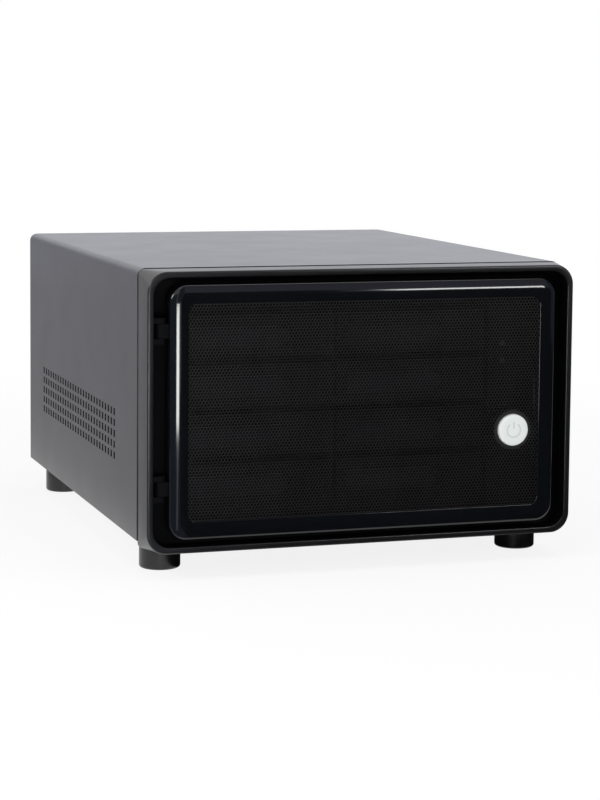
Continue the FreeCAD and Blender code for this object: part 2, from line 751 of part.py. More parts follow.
def draw_lug(sketch):
    """Plan of a lug: straight sides from the recess wall and a round end at the pin."""
    wall = bezel_wall / 2 - bezel_x
    outline(sketch, [
        (wall, hinge_y + lug_radius),
        (-hinge_x, hinge_y + lug_radius, lug_radius),
        (-hinge_x, hinge_y - lug_radius),
        (wall, hinge_y - lug_radius),
    ])


def make_hinge_pins():
    """A steel pin through both lugs of each hinge."""
    for label, level in (("upper_hinge_pin", hinge_upper), ("lower_hinge_pin", hinge_lower)):
        pin = start_body(label)
        layer(pin, pan_z + level - hinge_height / 2, pan_z + level + hinge_height / 2,
              lambda s: circle(s, -hinge_x, hinge_y, pin_radius))


def make_feet():
    """Four turned feet under the pan's corners."""
    for end, y in (("front", lip_y + foot_front), ("rear", rear_y - foot_rear)):
        for side, x in (("left", foot_inset - half_width), ("right", half_width - foot_inset)):
            foot = start_body(f"foot_{end}_{side}")
            revolve(foot, "XZ_Plane", "Z_Axis", [
                (0, 0),
                (foot_radius - foot_edge, 0),
                (foot_radius, foot_edge),
                (foot_radius, foot_height),
                (0, foot_height),
            ])
            place(foot, x, y, 0)


# Door


def make_door_frame():
    """Glossy frame: crowned outer edge, flat land, and a thin rim that the mesh lies against."""
    frame = start_body("door_frame")
    slab(frame, door_front_y, door_back_y,
         lambda s: round_rectangle(s, -door_x, door_x, door_bottom_z, door_top_z, door_radius))
    soften(frame, door_crown, lambda e: edge_at(e, y=door_front_y))
    seat_radius = mesh_corner + rim_overlap
    hollow(frame, door_front_y, mesh_front_y,
           lambda s: round_rectangle(s, -view_x, view_x, view_bottom_z, view_top_z, mesh_corner))
    hollow(frame, mesh_front_y, door_back_y,
           lambda s: round_rectangle(s, -seat_x, seat_x, seat_bottom_z, seat_top_z, seat_radius))
    play_height = hinge_gap - knuckle_play
    for level in (hinge_upper, hinge_lower):
        low, high = pan_z + level - play_height, pan_z + level + play_height
        layer(frame, low, high, lambda s: circle(s, -hinge_x, hinge_y, lug_radius))
        layer(frame, low, high, lambda s: rectangle(
            s, -hinge_x, sheet_metal - door_x, hinge_y - knuckle_arm / 2, hinge_y + knuckle_arm / 2))
        sink(frame, low, high, lambda s: circle(s, -hinge_x, hinge_y, pin_radius + pin_play))
    box_cut(frame, door_x - catch_width - sheet_metal, door_x - sheet_metal,
            door_back_y - catch_plate_thickness, door_back_y,
            catch_middle_z() - catch_height / 2, catch_middle_z() + catch_height / 2)


def catch_middle_z():
    return (door_bottom_z + door_top_z) / 2


def make_catch():
    """Steel plate let into the door and the magnet block that stands on the bezel's flange."""
    left, right = door_x - catch_width - sheet_metal, door_x - sheet_metal
    low, high = catch_middle_z() - catch_height / 2, catch_middle_z() + catch_height / 2
    plate = start_body("catch_plate")
    box(plate, left, right, door_back_y - catch_plate_thickness, door_back_y, low, high)
    magnet = start_body("catch_magnet")
    box(magnet, left, right, door_back_y + catch_gap, well_floor_y, low, high)


def make_mesh():
    """Perforated steel sheet with staggered holes and a round hole for the button."""
    mesh = start_body("door_mesh")
    left, right = -seat_x + slip, seat_x - slip
    low, high = seat_bottom_z + slip, seat_top_z - slip
    slab(mesh, mesh_front_y, mesh_back_y,
         lambda s: round_rectangle(s, left, right, low, high, mesh_corner + rim_overlap))
    row_pitch = mesh_pitch * 0.866
    columns = int((view_x * 2 - mesh_border * 2).value // mesh_pitch.value) + 1
    rows = int((view_top_z - view_bottom_z - mesh_border * 2).value // row_pitch.value) + 1
    start_x = mesh_pitch * (columns - 1) / -2
    start_z = (view_bottom_z + view_top_z) / 2 - row_pitch * (rows - 1) / 2
    for parity in (0, 1):
        x = start_x + mesh_pitch / 2 * parity
        z = start_z + row_pitch * parity
        hole = hollow(mesh, mesh_front_y, mesh_back_y, lambda s: outline(s, [
            (x - mesh_hole, z), (x, z - mesh_hole), (x + mesh_hole, z), (x, z + mesh_hole)]))
        repeat(mesh, hole, "X_Axis", mesh_pitch, columns - parity, "Z_Axis", row_pitch * 2,
               (rows + 1 - parity) // 2)
    button_hole = button_radius + button_play
    slab(mesh, mesh_front_y, mesh_back_y,
         lambda s: circle(s, button_x, button_z, button_hole + mesh_ring))
    hollow(mesh, mesh_front_y, mesh_back_y, lambda s: circle(s, button_x, button_z, button_hole))


def make_retainer():
    """Frame behind the mesh that clamps it in the door."""
    clamp = start_body("mesh_retainer")
    slab(clamp, mesh_back_y, mesh_back_y + retainer_depth, lambda s: round_rectangle(
        s, slip - seat_x, seat_x - slip, seat_bottom_z + slip, seat_top_z - slip,
        mesh_corner + rim_overlap))
    hollow(clamp, mesh_back_y, mesh_back_y + retainer_depth, lambda s: round_rectangle(
        s, -view_x, view_x, view_bottom_z, view_top_z, mesh_corner))


def make_button():
    """White button, the sleeve it slides in and the disc that closes the sleeve."""
    bore = button_radius + button_play
    collar = button_radius + button_collar
    shoulder_y = lip_y + sleeve_shoulder
    collar_front_y = shoulder_y + knuckle_play
    collar_back_y = collar_front_y + collar_thickness

    sleeve = start_body("button_sleeve")
    turned(sleeve, [
        (bore, mesh_back_y),
        (sleeve_outer, mesh_back_y),
        (sleeve_outer, door_back_y),
        (collar + button_play, door_back_y),
        (collar + button_play, shoulder_y),
        (bore, shoulder_y),
    ], button_x, button_z)
    arm = new_sketch(sleeve, "XZ_Plane", mesh_back_y + retainer_depth)
    rectangle(arm, sleeve_outer - sheet_metal, view_x - button_x, -bracket_height / 2, bracket_height / 2)
    extrude(sleeve, arm, "Pad", retainer_depth)

    cap = start_body("button_retainer")
    turned(cap, [
        (button_stem + button_play, door_back_y),
        (sleeve_outer, door_back_y),
        (sleeve_outer, door_back_y + sleeve_cap),
        (button_stem + button_play, door_back_y + sleeve_cap),
    ], button_x, button_z)

    button = start_body("power_button")
    crown_y = door_front_y - button_proud
    edge_y = crown_y + button_dome
    switch_y = lip_y + well_depth + knuckle_play
    turned(button, [
        (0, crown_y),
        (button_radius - button_dome, crown_y),
        (button_radius, edge_y),
        (button_radius, collar_front_y),
        (collar, collar_front_y),
        (collar, collar_back_y),
        (button_stem, collar_back_y),
        (button_stem, switch_y - button_travel - knuckle_play),
        (0, switch_y - button_travel - knuckle_play),
    ], button_x, button_z)


def turned(body, points, x, z):
    """A form turned about an axis along Y, drawn as (radius, depth) points."""
    revolve(body, "XY_Plane", "Y_Axis", points)
    place(body, x, 0, z)


# Behind the door


def make_control_panel():
    """Plastic strip beside the drives, the switch board on the frame, the switch and two lights."""
    left = cage_right_x + slip * 5
    right = mouth_x - slip
    low, high = mouth_bottom_z + slip, mouth_top_z - slip
    face_y = well_floor_y + sheet_metal
    strip = start_body("control_strip")
    plate_back_y = face_y + sheet_metal * 2
    bend = mouth_radius
    slab(strip, face_y, plate_back_y, lambda s: outline(s, [
        (left, low),
        (right - bend, low),
        (right, low + bend),
        (right, high - bend),
        (right - bend, high),
        (left, high),
    ]))
    box(strip, left, left + sheet_metal * 2, plate_back_y, frame_front_y, low, high)
    light_z = button_z + body_height / 4
    light = light_width / 2
    holes = new_sketch(strip, "XZ_Plane", face_y)
    circle(holes, button_x, button_z, button_stem + knuckle_play)
    for up in (0, 1):
        z = light_z + flange * up
        rectangle(holes, button_x - light, button_x + light, z - light, z + light)
    extrude(strip, holes, "Pocket", sheet_metal * 2)

    board = start_body("switch_board")
    board_y = frame_front_y - board_thickness
    box(board, left + sheet_metal * 3, right - sheet_metal * 2, board_y, frame_front_y,
        button_z - flange * 2, light_z + flange * 2)
    switch = start_body("power_switch")
    body_y = plate_back_y + slip
    box(switch, button_x - flange / 2, button_x + flange / 2, body_y, board_y,
        button_z - flange / 2, button_z + flange / 2)
    slab(switch, well_floor_y + knuckle_play, body_y,
         lambda s: circle(s, button_x, button_z, button_stem - slip))
    lights = start_body("status_lights")
    for up in (0, 1):
        z = light_z + flange * up
        box(lights, button_x - light, button_x + light, face_y - slip * 2, board_y, z - light, z + light)


def make_cage():
    """Open box of folded sheet on two legs, and the ledges on its walls that carry the trays."""
    cage = start_body("drive_cage")
    left_leg_x = cage_left_x + sheet_metal
    right_leg_x = cage_right_x - sheet_metal
    profile = [
        (cage_left_x, floor_z),
        (left_leg_x + cage_foot, floor_z),
        (left_leg_x + cage_foot, floor_z + sheet_metal),
        (left_leg_x, floor_z + sheet_metal),
        (left_leg_x, cage_bottom_z),
        (right_leg_x, cage_bottom_z),
        (right_leg_x, floor_z + sheet_metal),
        (right_leg_x - cage_foot, floor_z + sheet_metal),
        (right_leg_x - cage_foot, floor_z),
        (cage_right_x, floor_z),
        (cage_right_x, bay_top_z + sheet_metal),
        (cage_left_x, bay_top_z + sheet_metal),
    ]

    def draw(sketch):
        outline(sketch, profile)
        for middle in bay_middle_x:
            rectangle(sketch, middle - bay_width / 2, middle + bay_width / 2, bay_floor_z, bay_top_z)

    slab(cage, frame_back_y, cage_back_y, draw)
    rails = start_body("tray_ledges")
    ledges = new_sketch(rails, "XZ_Plane", cage_back_y)
    ledge_top = bay_floor_z + bay_height
    for middle in bay_middle_x:
        for side in (-1, 1):
            ends = sorted((middle + bay_width / 2 * side, middle + (bay_width / 2 - ledge_width) * side),
                          key=lambda s: s.value)
            rectangle(ledges, ends[0], ends[1], ledge_top - ledge_thickness, ledge_top)
    first = extrude(rails, ledges, "Pad", cage_back_y - frame_back_y)
    repeat(rails, first, "Z_Axis", bay_height, bay_rows - 1)


def make_tray(number, middle, floor):
    """Moulded drive tray: face with a recess, floor and side walls; and the lever on its face."""
    tray = start_body(f"drive_tray_{number}")
    half = bay_width / 2 - tray_play
    body_y = tray_face_y + tray_face
    end_y = cage_back_y - socket_depth - knuckle_play
    box(tray, -half, half, tray_face_y, body_y, slip, tray_height)
    box(tray, -half, half, body_y, end_y, 0, tray_floor)
    for side in (-1, 1):
        ends = sorted((half * side, (half - tray_wall) * side), key=lambda s: s.value)
        box(tray, ends[0], ends[1], body_y, end_y, tray_floor, tray_wall_height)
    lever_left = flange / 2 - half
    lever_low = (tray_height - lever_height) / 2
    box_cut(tray, lever_left - lever_play, lever_left + lever_length + lever_play, tray_face_y,
            tray_face_y + lever_recess, lever_low - lever_play, lever_low + lever_height + lever_play)
    place(tray, middle, 0, floor)

    lever = start_body(f"tray_lever_{number}")
    grip = lever_height / 2
    lever_back_y = tray_face_y + lever_recess
    lever_front_y = lever_back_y - lever_thickness
    slab(lever, lever_front_y, lever_back_y, lambda s: outline(s, [
        (lever_left, lever_low),
        (lever_left + lever_length - grip, lever_low),
        (lever_left + lever_length, lever_low + grip / 2),
        (lever_left + lever_length, lever_low + lever_height - grip / 2),
        (lever_left + lever_length - grip, lever_low + lever_height),
        (lever_left, lever_low + lever_height),
    ]))
    soften(lever, lever_play * 2, lambda e: edge_at(e, y=lever_front_y), "Chamfer")
    place(lever, middle, 0, floor)


def make_backplane():
    """An upright board behind each column of bays, and the sockets that the drives plug into."""
    board = start_body("backplane_board")
    left = bay_middle_x[0]
    strip = box(board, left - socket_margin, left + bay_width / 2 + sheet_metal, cage_back_y,
                cage_back_y + board_thickness, cage_bottom_z, bay_top_z + sheet_metal)
    repeat(board, strip, "X_Axis", bay_width + sheet_metal, 2)
    sockets = start_body("drive_sockets")
    low = bay_floor_z + tray_floor + sheet_metal
    socket = box(sockets, left, left + socket_width, cage_back_y - socket_depth, cage_back_y, low,
                 low + socket_height)
    repeat(sockets, socket, "X_Axis", bay_width + sheet_metal, 2, "Z_Axis", bay_height, bay_rows)


# Fan and rear compartment


def make_fan():
    """Axial fan on the rear panel: square frame, motor boss on struts, hub with seven blades."""
    frame = start_body("fan_frame")
    half = fan_size / 2
    plate = sheet_metal * 3
    duct = half - sheet_metal * 2
    post_front = fan_depth * 0.35
    box(frame, -half, half, 0, fan_depth, -half, half)
    hollow(frame, 0, fan_depth, lambda s: circle(s, 0, 0, duct))
    slab(frame, 0, plate, lambda s: circle(s, 0, 0, fan_hub))
    for wide, tall in ((duct + sheet_metal, fan_strut / 2), (fan_strut / 2, duct + sheet_metal)):
        box(frame, -wide, wide, 0, plate, -tall, tall)
    slab(frame, plate, fan_depth - post_front, lambda s: circle(s, 0, 0, shaft_radius * 3))
    hollow(frame, plate - sheet_metal, fan_depth - post_front,
           lambda s: circle(s, 0, 0, shaft_radius + shaft_play))
    place(frame, -fan_x, fan_y, pan_z + fan_z)

    rotor = start_body("fan_rotor")
    cup_front = plate + sheet_metal * 1.5
    cup_back = fan_depth - sheet_metal * 2
    wall = sheet_metal * 1.5
    revolve(rotor, "XY_Plane", "Y_Axis", [
        (0, plate),
        (shaft_radius, plate),
        (shaft_radius, cup_back - wall),
        (fan_hub - wall, cup_back - wall),
        (fan_hub - wall, cup_front),
        (fan_hub, cup_front),
        (fan_hub, cup_back),
        (0, cup_back),
    ])
    # A blade's section at the hub, raised almost to the duct
    chord, rake, thick = fan_hub * 0.62, fan_depth * 0.3, sheet_metal * 1.3
    middle = fan_depth * 0.52
    blade = new_sketch(rotor, "XY_Plane", fan_hub - wall / 2)
    outline(blade, [
        (-chord, middle - rake),
        (0, middle - rake * 0.35),
        (chord, middle + rake),
        (chord - thick, middle + rake),
        (-thick, middle - rake * 0.35 + thick),
        (-chord - thick / 2, middle - rake + thick),
    ])
    lifted = extrude(rotor, blade, "Pad", duct * 0.93 - fan_hub)
    ring = rotor.newObject("PartDesign::PolarPattern", "fan_blades")
    ring.Originals = [lifted]
    ring.Axis = (origin_part(rotor, "Y_Axis"), [""])
    ring.Angle = 360
    ring.Occurrences = 7
    rotor.Tip = ring
    place(rotor, -fan_x, fan_y, pan_z + fan_z)


def make_standoffs():
    """Four hexagonal posts on the pan at the main board's fixing holes."""
    posts = start_body("board_standoffs")
    edge_y = rear_y - board_rear
    across = board_holes_x / 2
    places = [
        (board_x - across, edge_y - board_hole_near),
        (board_x + across, edge_y - board_hole_side),
        (board_x - across, edge_y - board_hole_far),
        (board_x + across, edge_y - board_hole_far),
    ]

    def hexagons(sketch):
        flat = standoff_radius * 0.866
        for x, y in places:
            outline(sketch, [
                (x + standoff_radius, y), (x + standoff_radius / 2, y + flat),
                (x - standoff_radius / 2, y + flat), (x - standoff_radius, y),
                (x - standoff_radius / 2, y - flat), (x + standoff_radius / 2, y - flat)])

    layer(posts, floor_z, floor_z + standoff_height, hexagons)


make_pan()
make_cover()
make_thumbscrews()
make_rear_panel()
make_slot_cover()
make_front_frame()
make_bezel()
make_hinge_pins()
make_feet()
make_door_frame()
make_catch()
make_mesh()
make_retainer()
make_button()
make_control_panel()
make_cage()
for column, middle in enumerate(bay_middle_x):
    for row in range(bay_rows):
        make_tray(column * bay_rows + row + 1, middle, bay_floor_z + bay_height * row)
make_backplane()
make_fan()
make_standoffs()

doc.recompute()
failed = [o.Name for o in doc.Objects if {"Invalid", "Error"} & set(o.State)]
if failed:
    raise RuntimeError(f"These objects did not compute: {failed}")
subparts = [o for o in doc.Objects if o.isDerivedFrom("PartDesign::Body")]
for part in subparts:
    if part.Shape.isNull() or not part.Shape.isValid() or not part.Shape.Solids:
        raise RuntimeError(f"{part.Label} has no valid solid")

os.makedirs("parts", exist_ok=True)
for part in subparts:
    part.Shape.exportStep(f"parts/{part.Label}.step")
print(f"{len(subparts)} sub-parts, {sum(len(p.Shape.Solids) for p in subparts)} solids")
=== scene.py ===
import math

import bmesh
import bpy
from mathutils import Matrix, Vector


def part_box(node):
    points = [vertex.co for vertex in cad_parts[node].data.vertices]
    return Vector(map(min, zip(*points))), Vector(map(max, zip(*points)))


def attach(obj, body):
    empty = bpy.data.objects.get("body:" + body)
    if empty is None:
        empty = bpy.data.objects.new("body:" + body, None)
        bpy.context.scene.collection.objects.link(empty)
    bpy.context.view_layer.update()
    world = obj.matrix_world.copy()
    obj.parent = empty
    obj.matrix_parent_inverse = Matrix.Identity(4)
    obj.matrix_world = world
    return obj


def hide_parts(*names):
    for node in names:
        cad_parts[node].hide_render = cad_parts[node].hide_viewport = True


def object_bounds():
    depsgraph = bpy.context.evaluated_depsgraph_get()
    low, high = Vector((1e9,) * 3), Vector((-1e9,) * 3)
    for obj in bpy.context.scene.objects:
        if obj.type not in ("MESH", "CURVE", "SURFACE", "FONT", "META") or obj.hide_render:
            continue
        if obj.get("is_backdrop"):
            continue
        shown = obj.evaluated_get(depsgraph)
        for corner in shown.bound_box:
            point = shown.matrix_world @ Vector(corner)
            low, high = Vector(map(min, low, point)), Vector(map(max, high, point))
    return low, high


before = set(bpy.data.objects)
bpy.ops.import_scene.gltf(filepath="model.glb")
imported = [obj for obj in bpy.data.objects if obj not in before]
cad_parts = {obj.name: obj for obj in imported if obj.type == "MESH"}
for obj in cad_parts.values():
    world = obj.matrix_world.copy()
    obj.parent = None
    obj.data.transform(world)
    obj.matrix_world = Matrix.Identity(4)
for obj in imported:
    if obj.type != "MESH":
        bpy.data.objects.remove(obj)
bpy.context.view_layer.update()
bpy.ops.object.select_all(action="DESELECT")

# Chassis: pan, walls, drive cage, ledges, slot cover and catch plate are cut and folded from
# galvanised steel sheet. The zinc shows as a soft grey with faint crystals and rolling lines. The
# front wall, the cage and the ledges lie behind the door, and their sheet is coloured near black:
# a painted shade for the dark there.
MM = 0.001


class Signal:
    """One output of a node. Sums on it add Math nodes to the same material."""

    def __init__(self, socket):
        self.socket = socket

    def node(self, kind, settings, sockets, output=0):
        """Adds a node: its settings first, then the value or link of each socket."""
        tree = self.socket.id_data
        made = tree.nodes.new(kind)
        for name, value in settings.items():
            setattr(made, name, value)
        for name, value in sockets.items():
            if isinstance(value, Signal):
                tree.links.new(value.socket, made.inputs[name])
            else:
                made.inputs[name].default_value = value
        return Signal(made.outputs[output])

    def sum_of(self, operation, first, second):
        return self.node("ShaderNodeMath", {"operation": operation}, {0: first, 1: second})

    def __add__(self, other):
        return self.sum_of("ADD", self, other)

    def __radd__(self, other):
        return self.sum_of("ADD", other, self)

    def __rsub__(self, other):
        return self.sum_of("SUBTRACT", other, self)

    def __mul__(self, other):
        return self.sum_of("MULTIPLY", self, other)


class Finish:
    """A material in the making: its shader and the place on the piece that patterns read."""

    def __init__(self, name, **sockets):
        self.material = bpy.data.materials.new(name)
        self.material.use_nodes = True
        nodes = self.material.node_tree.nodes
        self.shader = nodes["Principled BSDF"]
        self.place = Signal(nodes.new("ShaderNodeTexCoord").outputs["Object"])
        for socket, value in sockets.items():
            self.shader.inputs[socket.replace("_", " ")].default_value = value

    def noise(self, scale, detail=2.0, stretch=(1, 1, 1)):
        """Cloudy pattern, about one blob for each metre divided by the scale."""
        spot = self.place.node("ShaderNodeMapping", {}, {"Vector": self.place, "Scale": stretch})
        return spot.node("ShaderNodeTexNoise", {},
                         {"Vector": spot, "Scale": scale, "Detail": detail})

    def tint(self, mask, dark, light):
        """Colour that goes from dark to light with a mask."""
        return mask.node("ShaderNodeMix", {"data_type": "RGBA"},
                         {0: mask, 6: (*dark, 1), 7: (*light, 1)}, 2)

    def grain(self, height, strength, depth):
        """Fine relief of the surface, as deep as given in metres."""
        return height.node("ShaderNodeBump", {},
                           {"Height": height, "Strength": strength, "Distance": depth})

    def feed(self, socket, signal):
        self.material.node_tree.links.new(signal.socket, self.shader.inputs[socket])


def paint(material, *names):
    """Gives carried-over nodes a material."""
    for name in names:
        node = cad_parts[name]
        node.data.materials.clear()
        node.data.materials.append(material)


def zinc_sheet():
    finish = Finish("zinc sheet", Metallic=0.85)
    crystals = finish.place.node("ShaderNodeTexVoronoi", {},
                                 {"Vector": finish.place, "Scale": 90.0}, 1)
    level = crystals.node("ShaderNodeSeparateColor", {}, {0: crystals})
    rolled = finish.noise(60.0, 3.0, (1, 14, 14))
    mask = level * 0.5 + rolled * 0.5
    finish.feed("Base Color", finish.tint(mask, (0.30, 0.31, 0.32), (0.52, 0.53, 0.54)))
    finish.feed("Roughness", 0.34 + level * 0.16 + rolled * 0.08)
    finish.feed("Normal", finish.grain(rolled, 0.15, 0.0002))
    return finish.material


def sheet_painted_dark_as_shade():
    """The same sheet, dull and near black: painted shade for the dark behind a grille."""
    finish = Finish("sheet painted dark as shade", Metallic=0.1, Specular_IOR_Level=0.08)
    rolled = finish.noise(60.0, 3.0, (1, 14, 14))
    # Painted shade: a near-black colour in place of the zinc, for the dark behind the door.
    dark, light = (0.0030, 0.0030, 0.0034), (0.0060, 0.0060, 0.0068)
    finish.feed("Base Color", finish.tint(rolled, dark, light))
    finish.feed("Roughness", 0.50 + rolled * 0.12)
    finish.feed("Normal", finish.grain(rolled, 0.15, 0.0002))
    return finish.material


paint(zinc_sheet(), "chassis_pan", "rear_panel", "slot_cover", "catch_plate")
paint(sheet_painted_dark_as_shade(), "front_frame", "drive_cage", "tray_ledges")

# Cover: one sheet of steel folded into a U, punched with rows of upright vents low in its left
# side, with a flange turned in along each rear edge. It is powder coated in satin black, slides on
# from the rear and is held by four thumbscrews.
cover_low, cover_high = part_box("top_cover")
SHEET = 1.0 * MM
COVER_BEND = 5.5 * MM
BEND_STEPS = 6
FLANGE = 12 * MM
VENT_COUNT, VENT_ROWS = 28, 5
VENT_PITCH, VENT_ROW_PITCH = 8.6 * MM, 7.5 * MM
VENT_WIDTH, VENT_HEIGHT = 3.8 * MM, 4.6 * MM
VENT_CORNER = 0.9 * MM
VENT_MARGIN = 1.5 * MM
REAR_VENT = cover_high.y - 54 * MM
LOWEST_VENT = cover_low.z + 47 * MM
SMOOTH_WITHIN = math.radians(30)


def pick(chosen):
    """Selects the points of the mesh in hand that pass the test, and what lies between them."""
    form = bmesh.from_edit_mesh(bpy.context.object.data)
    for part in (*form.faces, *form.edges, *form.verts):
        part.select = False
    for point in form.verts:
        point.select = bool(chosen(point.co))
    form.select_flush(True)
    bmesh.update_edit_mesh(bpy.context.object.data)


def close_to(a, b):
    return abs(a - b) < 0.02 * MM


def pull(x=0.0, y=0.0, z=0.0):
    """Extrudes what is selected and moves it."""
    bpy.ops.mesh.extrude_region_move(TRANSFORM_OT_translate={"value": (x, y, z)})


def edit():
    bpy.ops.object.mode_set(mode="EDIT")
    bpy.ops.mesh.select_mode(type="VERT")


def leave():
    bpy.ops.object.mode_set(mode="OBJECT")


def settle(name, body, material):
    """Names the piece in hand, puts its place into its mesh, shades it and sets it on a body."""
    piece = bpy.context.object
    piece.name = name
    piece.data.name = name
    bpy.ops.object.transform_apply(location=True, rotation=True, scale=True)
    bpy.ops.object.shade_smooth_by_angle(angle=SMOOTH_WITHIN)
    piece.data.materials.clear()
    piece.data.materials.append(material)
    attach(piece, body)
    piece.select_set(False)
    return piece


def modify(kind, **settings):
    """Adds a modifier to the piece in hand and applies it."""
    modifier = bpy.context.object.modifiers.new(kind.lower(), kind)
    for name, value in settings.items():
        setattr(modifier, name, value)
    bpy.ops.object.modifier_apply(modifier=modifier.name)


def repeat(count, x=0.0, y=0.0, z=0.0):
    """Copies the mesh in hand at even steps and joins the copies where they touch."""
    modify("ARRAY", count=count, use_relative_offset=False, use_constant_offset=True,
           constant_offset_displace=(x, y, z), use_merge_vertices=True,
           merge_threshold=0.01 * MM)


def powder_coat():
    """Satin black with a fine orange peel and a faint cloudiness."""
    finish = Finish("satin black powder coat", IOR=1.46, Specular_Tint=(0.95, 0.96, 1.0, 1))
    clouds = finish.noise(26.0, 3.0)
    peel = finish.noise(1500.0, 2.0)
    finish.feed("Base Color", finish.tint(clouds, (0.010, 0.010, 0.012), (0.015, 0.015, 0.018)))
    finish.feed("Roughness", 0.24 + clouds * 0.07 + peel * 0.04)
    finish.feed("Normal", finish.grain(peel, 0.30, 0.00012))
    return finish.material


coat = powder_coat()
vent_place = Vector((cover_low.x, REAR_VENT - VENT_PITCH * (VENT_COUNT - 1), LOWEST_VENT))
bpy.ops.mesh.primitive_plane_add(size=1, location=vent_place, rotation=(0, -math.pi / 2, 0))
bpy.ops.object.transform_apply(location=True, rotation=True)
edit()
bpy.ops.mesh.select_all(action="SELECT")
bpy.ops.transform.resize(value=(1, VENT_PITCH, VENT_ROW_PITCH), center_override=vent_place)
bpy.ops.mesh.inset(thickness=VENT_MARGIN, depth=0)
wide, tall = VENT_PITCH - 2 * VENT_MARGIN, VENT_ROW_PITCH - 2 * VENT_MARGIN
bpy.ops.transform.resize(value=(1, VENT_WIDTH / wide, VENT_HEIGHT / tall),
                         center_override=vent_place)
bpy.ops.mesh.bevel(offset=VENT_CORNER, segments=2, affect="VERTICES")
bpy.ops.mesh.delete(type="FACE")
leave()
repeat(VENT_COUNT, y=VENT_PITCH)
repeat(VENT_ROWS, z=VENT_ROW_PITCH)
field_front = vent_place.y - VENT_PITCH / 2
field_rear = REAR_VENT + VENT_PITCH / 2
field_bottom = LOWEST_VENT - VENT_ROW_PITCH / 2
field_top = field_bottom + VENT_ROW_PITCH * VENT_ROWS
edit()
pick(lambda p: close_to(p.y, field_front))
pull(y=cover_low.y - field_front)
pick(lambda p: close_to(p.y, field_rear))
pull(y=cover_high.y - field_rear)
pick(lambda p: close_to(p.z, field_bottom))
pull(z=cover_low.z - field_bottom)
pick(lambda p: close_to(p.z, field_top))
pull(z=cover_high.z - field_top)
pick(lambda p: close_to(p.z, cover_high.z))
pull(x=cover_high.x - cover_low.x)
pick(lambda p: close_to(p.x, cover_high.x))
pull(z=cover_low.z - cover_high.z)
for side in (cover_low.x, cover_high.x):
    pick(lambda p: close_to(p.x, side) and close_to(p.z, cover_high.z))
    bpy.ops.mesh.bevel(offset=COVER_BEND, segments=BEND_STEPS, affect="EDGES")
bend_foot = cover_high.z - COVER_BEND
for side, inward in ((cover_low.x, FLANGE), (cover_high.x, -FLANGE)):
    pick(lambda p: close_to(p.x, side) and close_to(p.y, cover_high.y) and p.z < bend_foot)
    pull(x=inward)
bpy.ops.mesh.select_all(action="SELECT")
bpy.ops.mesh.normals_make_consistent(inside=False)
leave()
modify("SOLIDIFY", thickness=SHEET, offset=-1)
cover = settle("cover_shell", "case", coat)
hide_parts("top_cover")

# Feet: four moulded plastic feet, smooth on the side and rounded under, each on one screw through
# the pan. They are dark and a little glossy, so the light runs down them in a soft band.
FOOT_EDGE = 2.0 * MM
DISH_DEPTH = 0.4 * MM
DISH_RIM, DISH_FLOOR = 1.4 * MM, 2 * MM
FOOT_STEPS = 64


def foot_plastic():
    finish = Finish("dark foot plastic", Coat_Weight=0.12, Coat_Roughness=0.25)
    clouds = finish.noise(180.0, 2.0)
    finish.feed("Base Color", finish.tint(clouds, (0.004, 0.004, 0.0045), (0.006, 0.006, 0.007)))
    finish.feed("Roughness", 0.26 + clouds * 0.10)
    finish.feed("Normal", finish.grain(clouds, 0.1, 0.0001))
    return finish.material


def turn_rings(centre, axis, rings, steps):
    """A closed round form made ring by ring: (radius, distance along the axis) from a centre.

    The axis is "Y" or "Z".
    """
    def at(distance):
        return centre + (Vector((0, distance, 0)) if axis == "Y" else Vector((0, 0, distance)))

    turned = (-math.pi / 2, 0, 0) if axis == "Y" else (0, 0, 0)
    bpy.ops.mesh.primitive_circle_add(vertices=steps, radius=rings[0][0], fill_type="NGON",
                                      location=at(rings[0][1]), rotation=turned)
    bpy.ops.object.transform_apply(location=True, rotation=True)
    edit()
    bpy.ops.mesh.select_all(action="SELECT")
    for (radius, distance), (next_radius, next_distance) in zip(rings, rings[1:]):
        pull(*(at(next_distance) - at(distance)))
        share = next_radius / radius
        scale = (share, 1, share) if axis == "Y" else (share, share, 1)
        bpy.ops.transform.resize(value=scale, center_override=at(next_distance))
    bpy.ops.mesh.select_all(action="SELECT")
    bpy.ops.mesh.normals_make_consistent(inside=False)
    leave()


def quarter_round(radius, depth, edge, steps=5):
    """Rings of a rounded edge, from the flat (at depth) out to the side (edge further on)."""
    return [(radius - edge + edge * math.sin(t), depth + edge - edge * math.cos(t))
            for t in (math.pi / 2 * i / steps for i in range(steps + 1))]


foot_material = foot_plastic()
for foot in ("foot_front_left", "foot_front_right", "foot_rear_left", "foot_rear_right"):
    low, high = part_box(foot)
    radius = (high.x - low.x) / 2
    centre = Vector(((low.x + high.x) / 2, (low.y + high.y) / 2, low.z))
    rings = [(radius - FOOT_EDGE - DISH_FLOOR, DISH_DEPTH), (radius - FOOT_EDGE - DISH_RIM, 0)]
    rings += quarter_round(radius, 0, FOOT_EDGE)
    rings += [(radius, high.z - low.z)]
    turn_rings(centre, "Z", rings, FOOT_STEPS)
    piece = settle(f"{foot}_turned", "case", foot_material)
    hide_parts(foot)

# Bezel: a moulded ring of satin black plastic, carried by the front wall. Its outline is
# tight-cornered at the seam and round at the lip. Inside is a deep dark recess for the door, with
# two pairs of hinge lugs.
bezel_low, bezel_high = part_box("front_bezel")
LIP_Y = bezel_low.y
BEZEL_SEAM_Y = LIP_Y + 25 * MM
LIP_EDGE = 1.2 * MM
LIP_WIDTH = 4.2 * MM
LIP_INNER_EDGE = 0.7 * MM
SATIN_DEPTH = 0.9 * MM
LIP_CORNER, SEAM_CORNER, WELL_CORNER, MOUTH_CORNER = 13.5 * MM, 4 * MM, 11.5 * MM, 6 * MM
WELL_FLOOR_Y = LIP_Y + 15 * MM
WALL = 2.5 * MM
MOUTH_SIDE, MOUTH_TOP = 22.5 * MM, 17 * MM
CORNER_STEPS = 10
HINGE_X, HINGE_Y = -140 * MM, LIP_Y + 3.5 * MM
LUG_RADIUS = 3.4 * MM
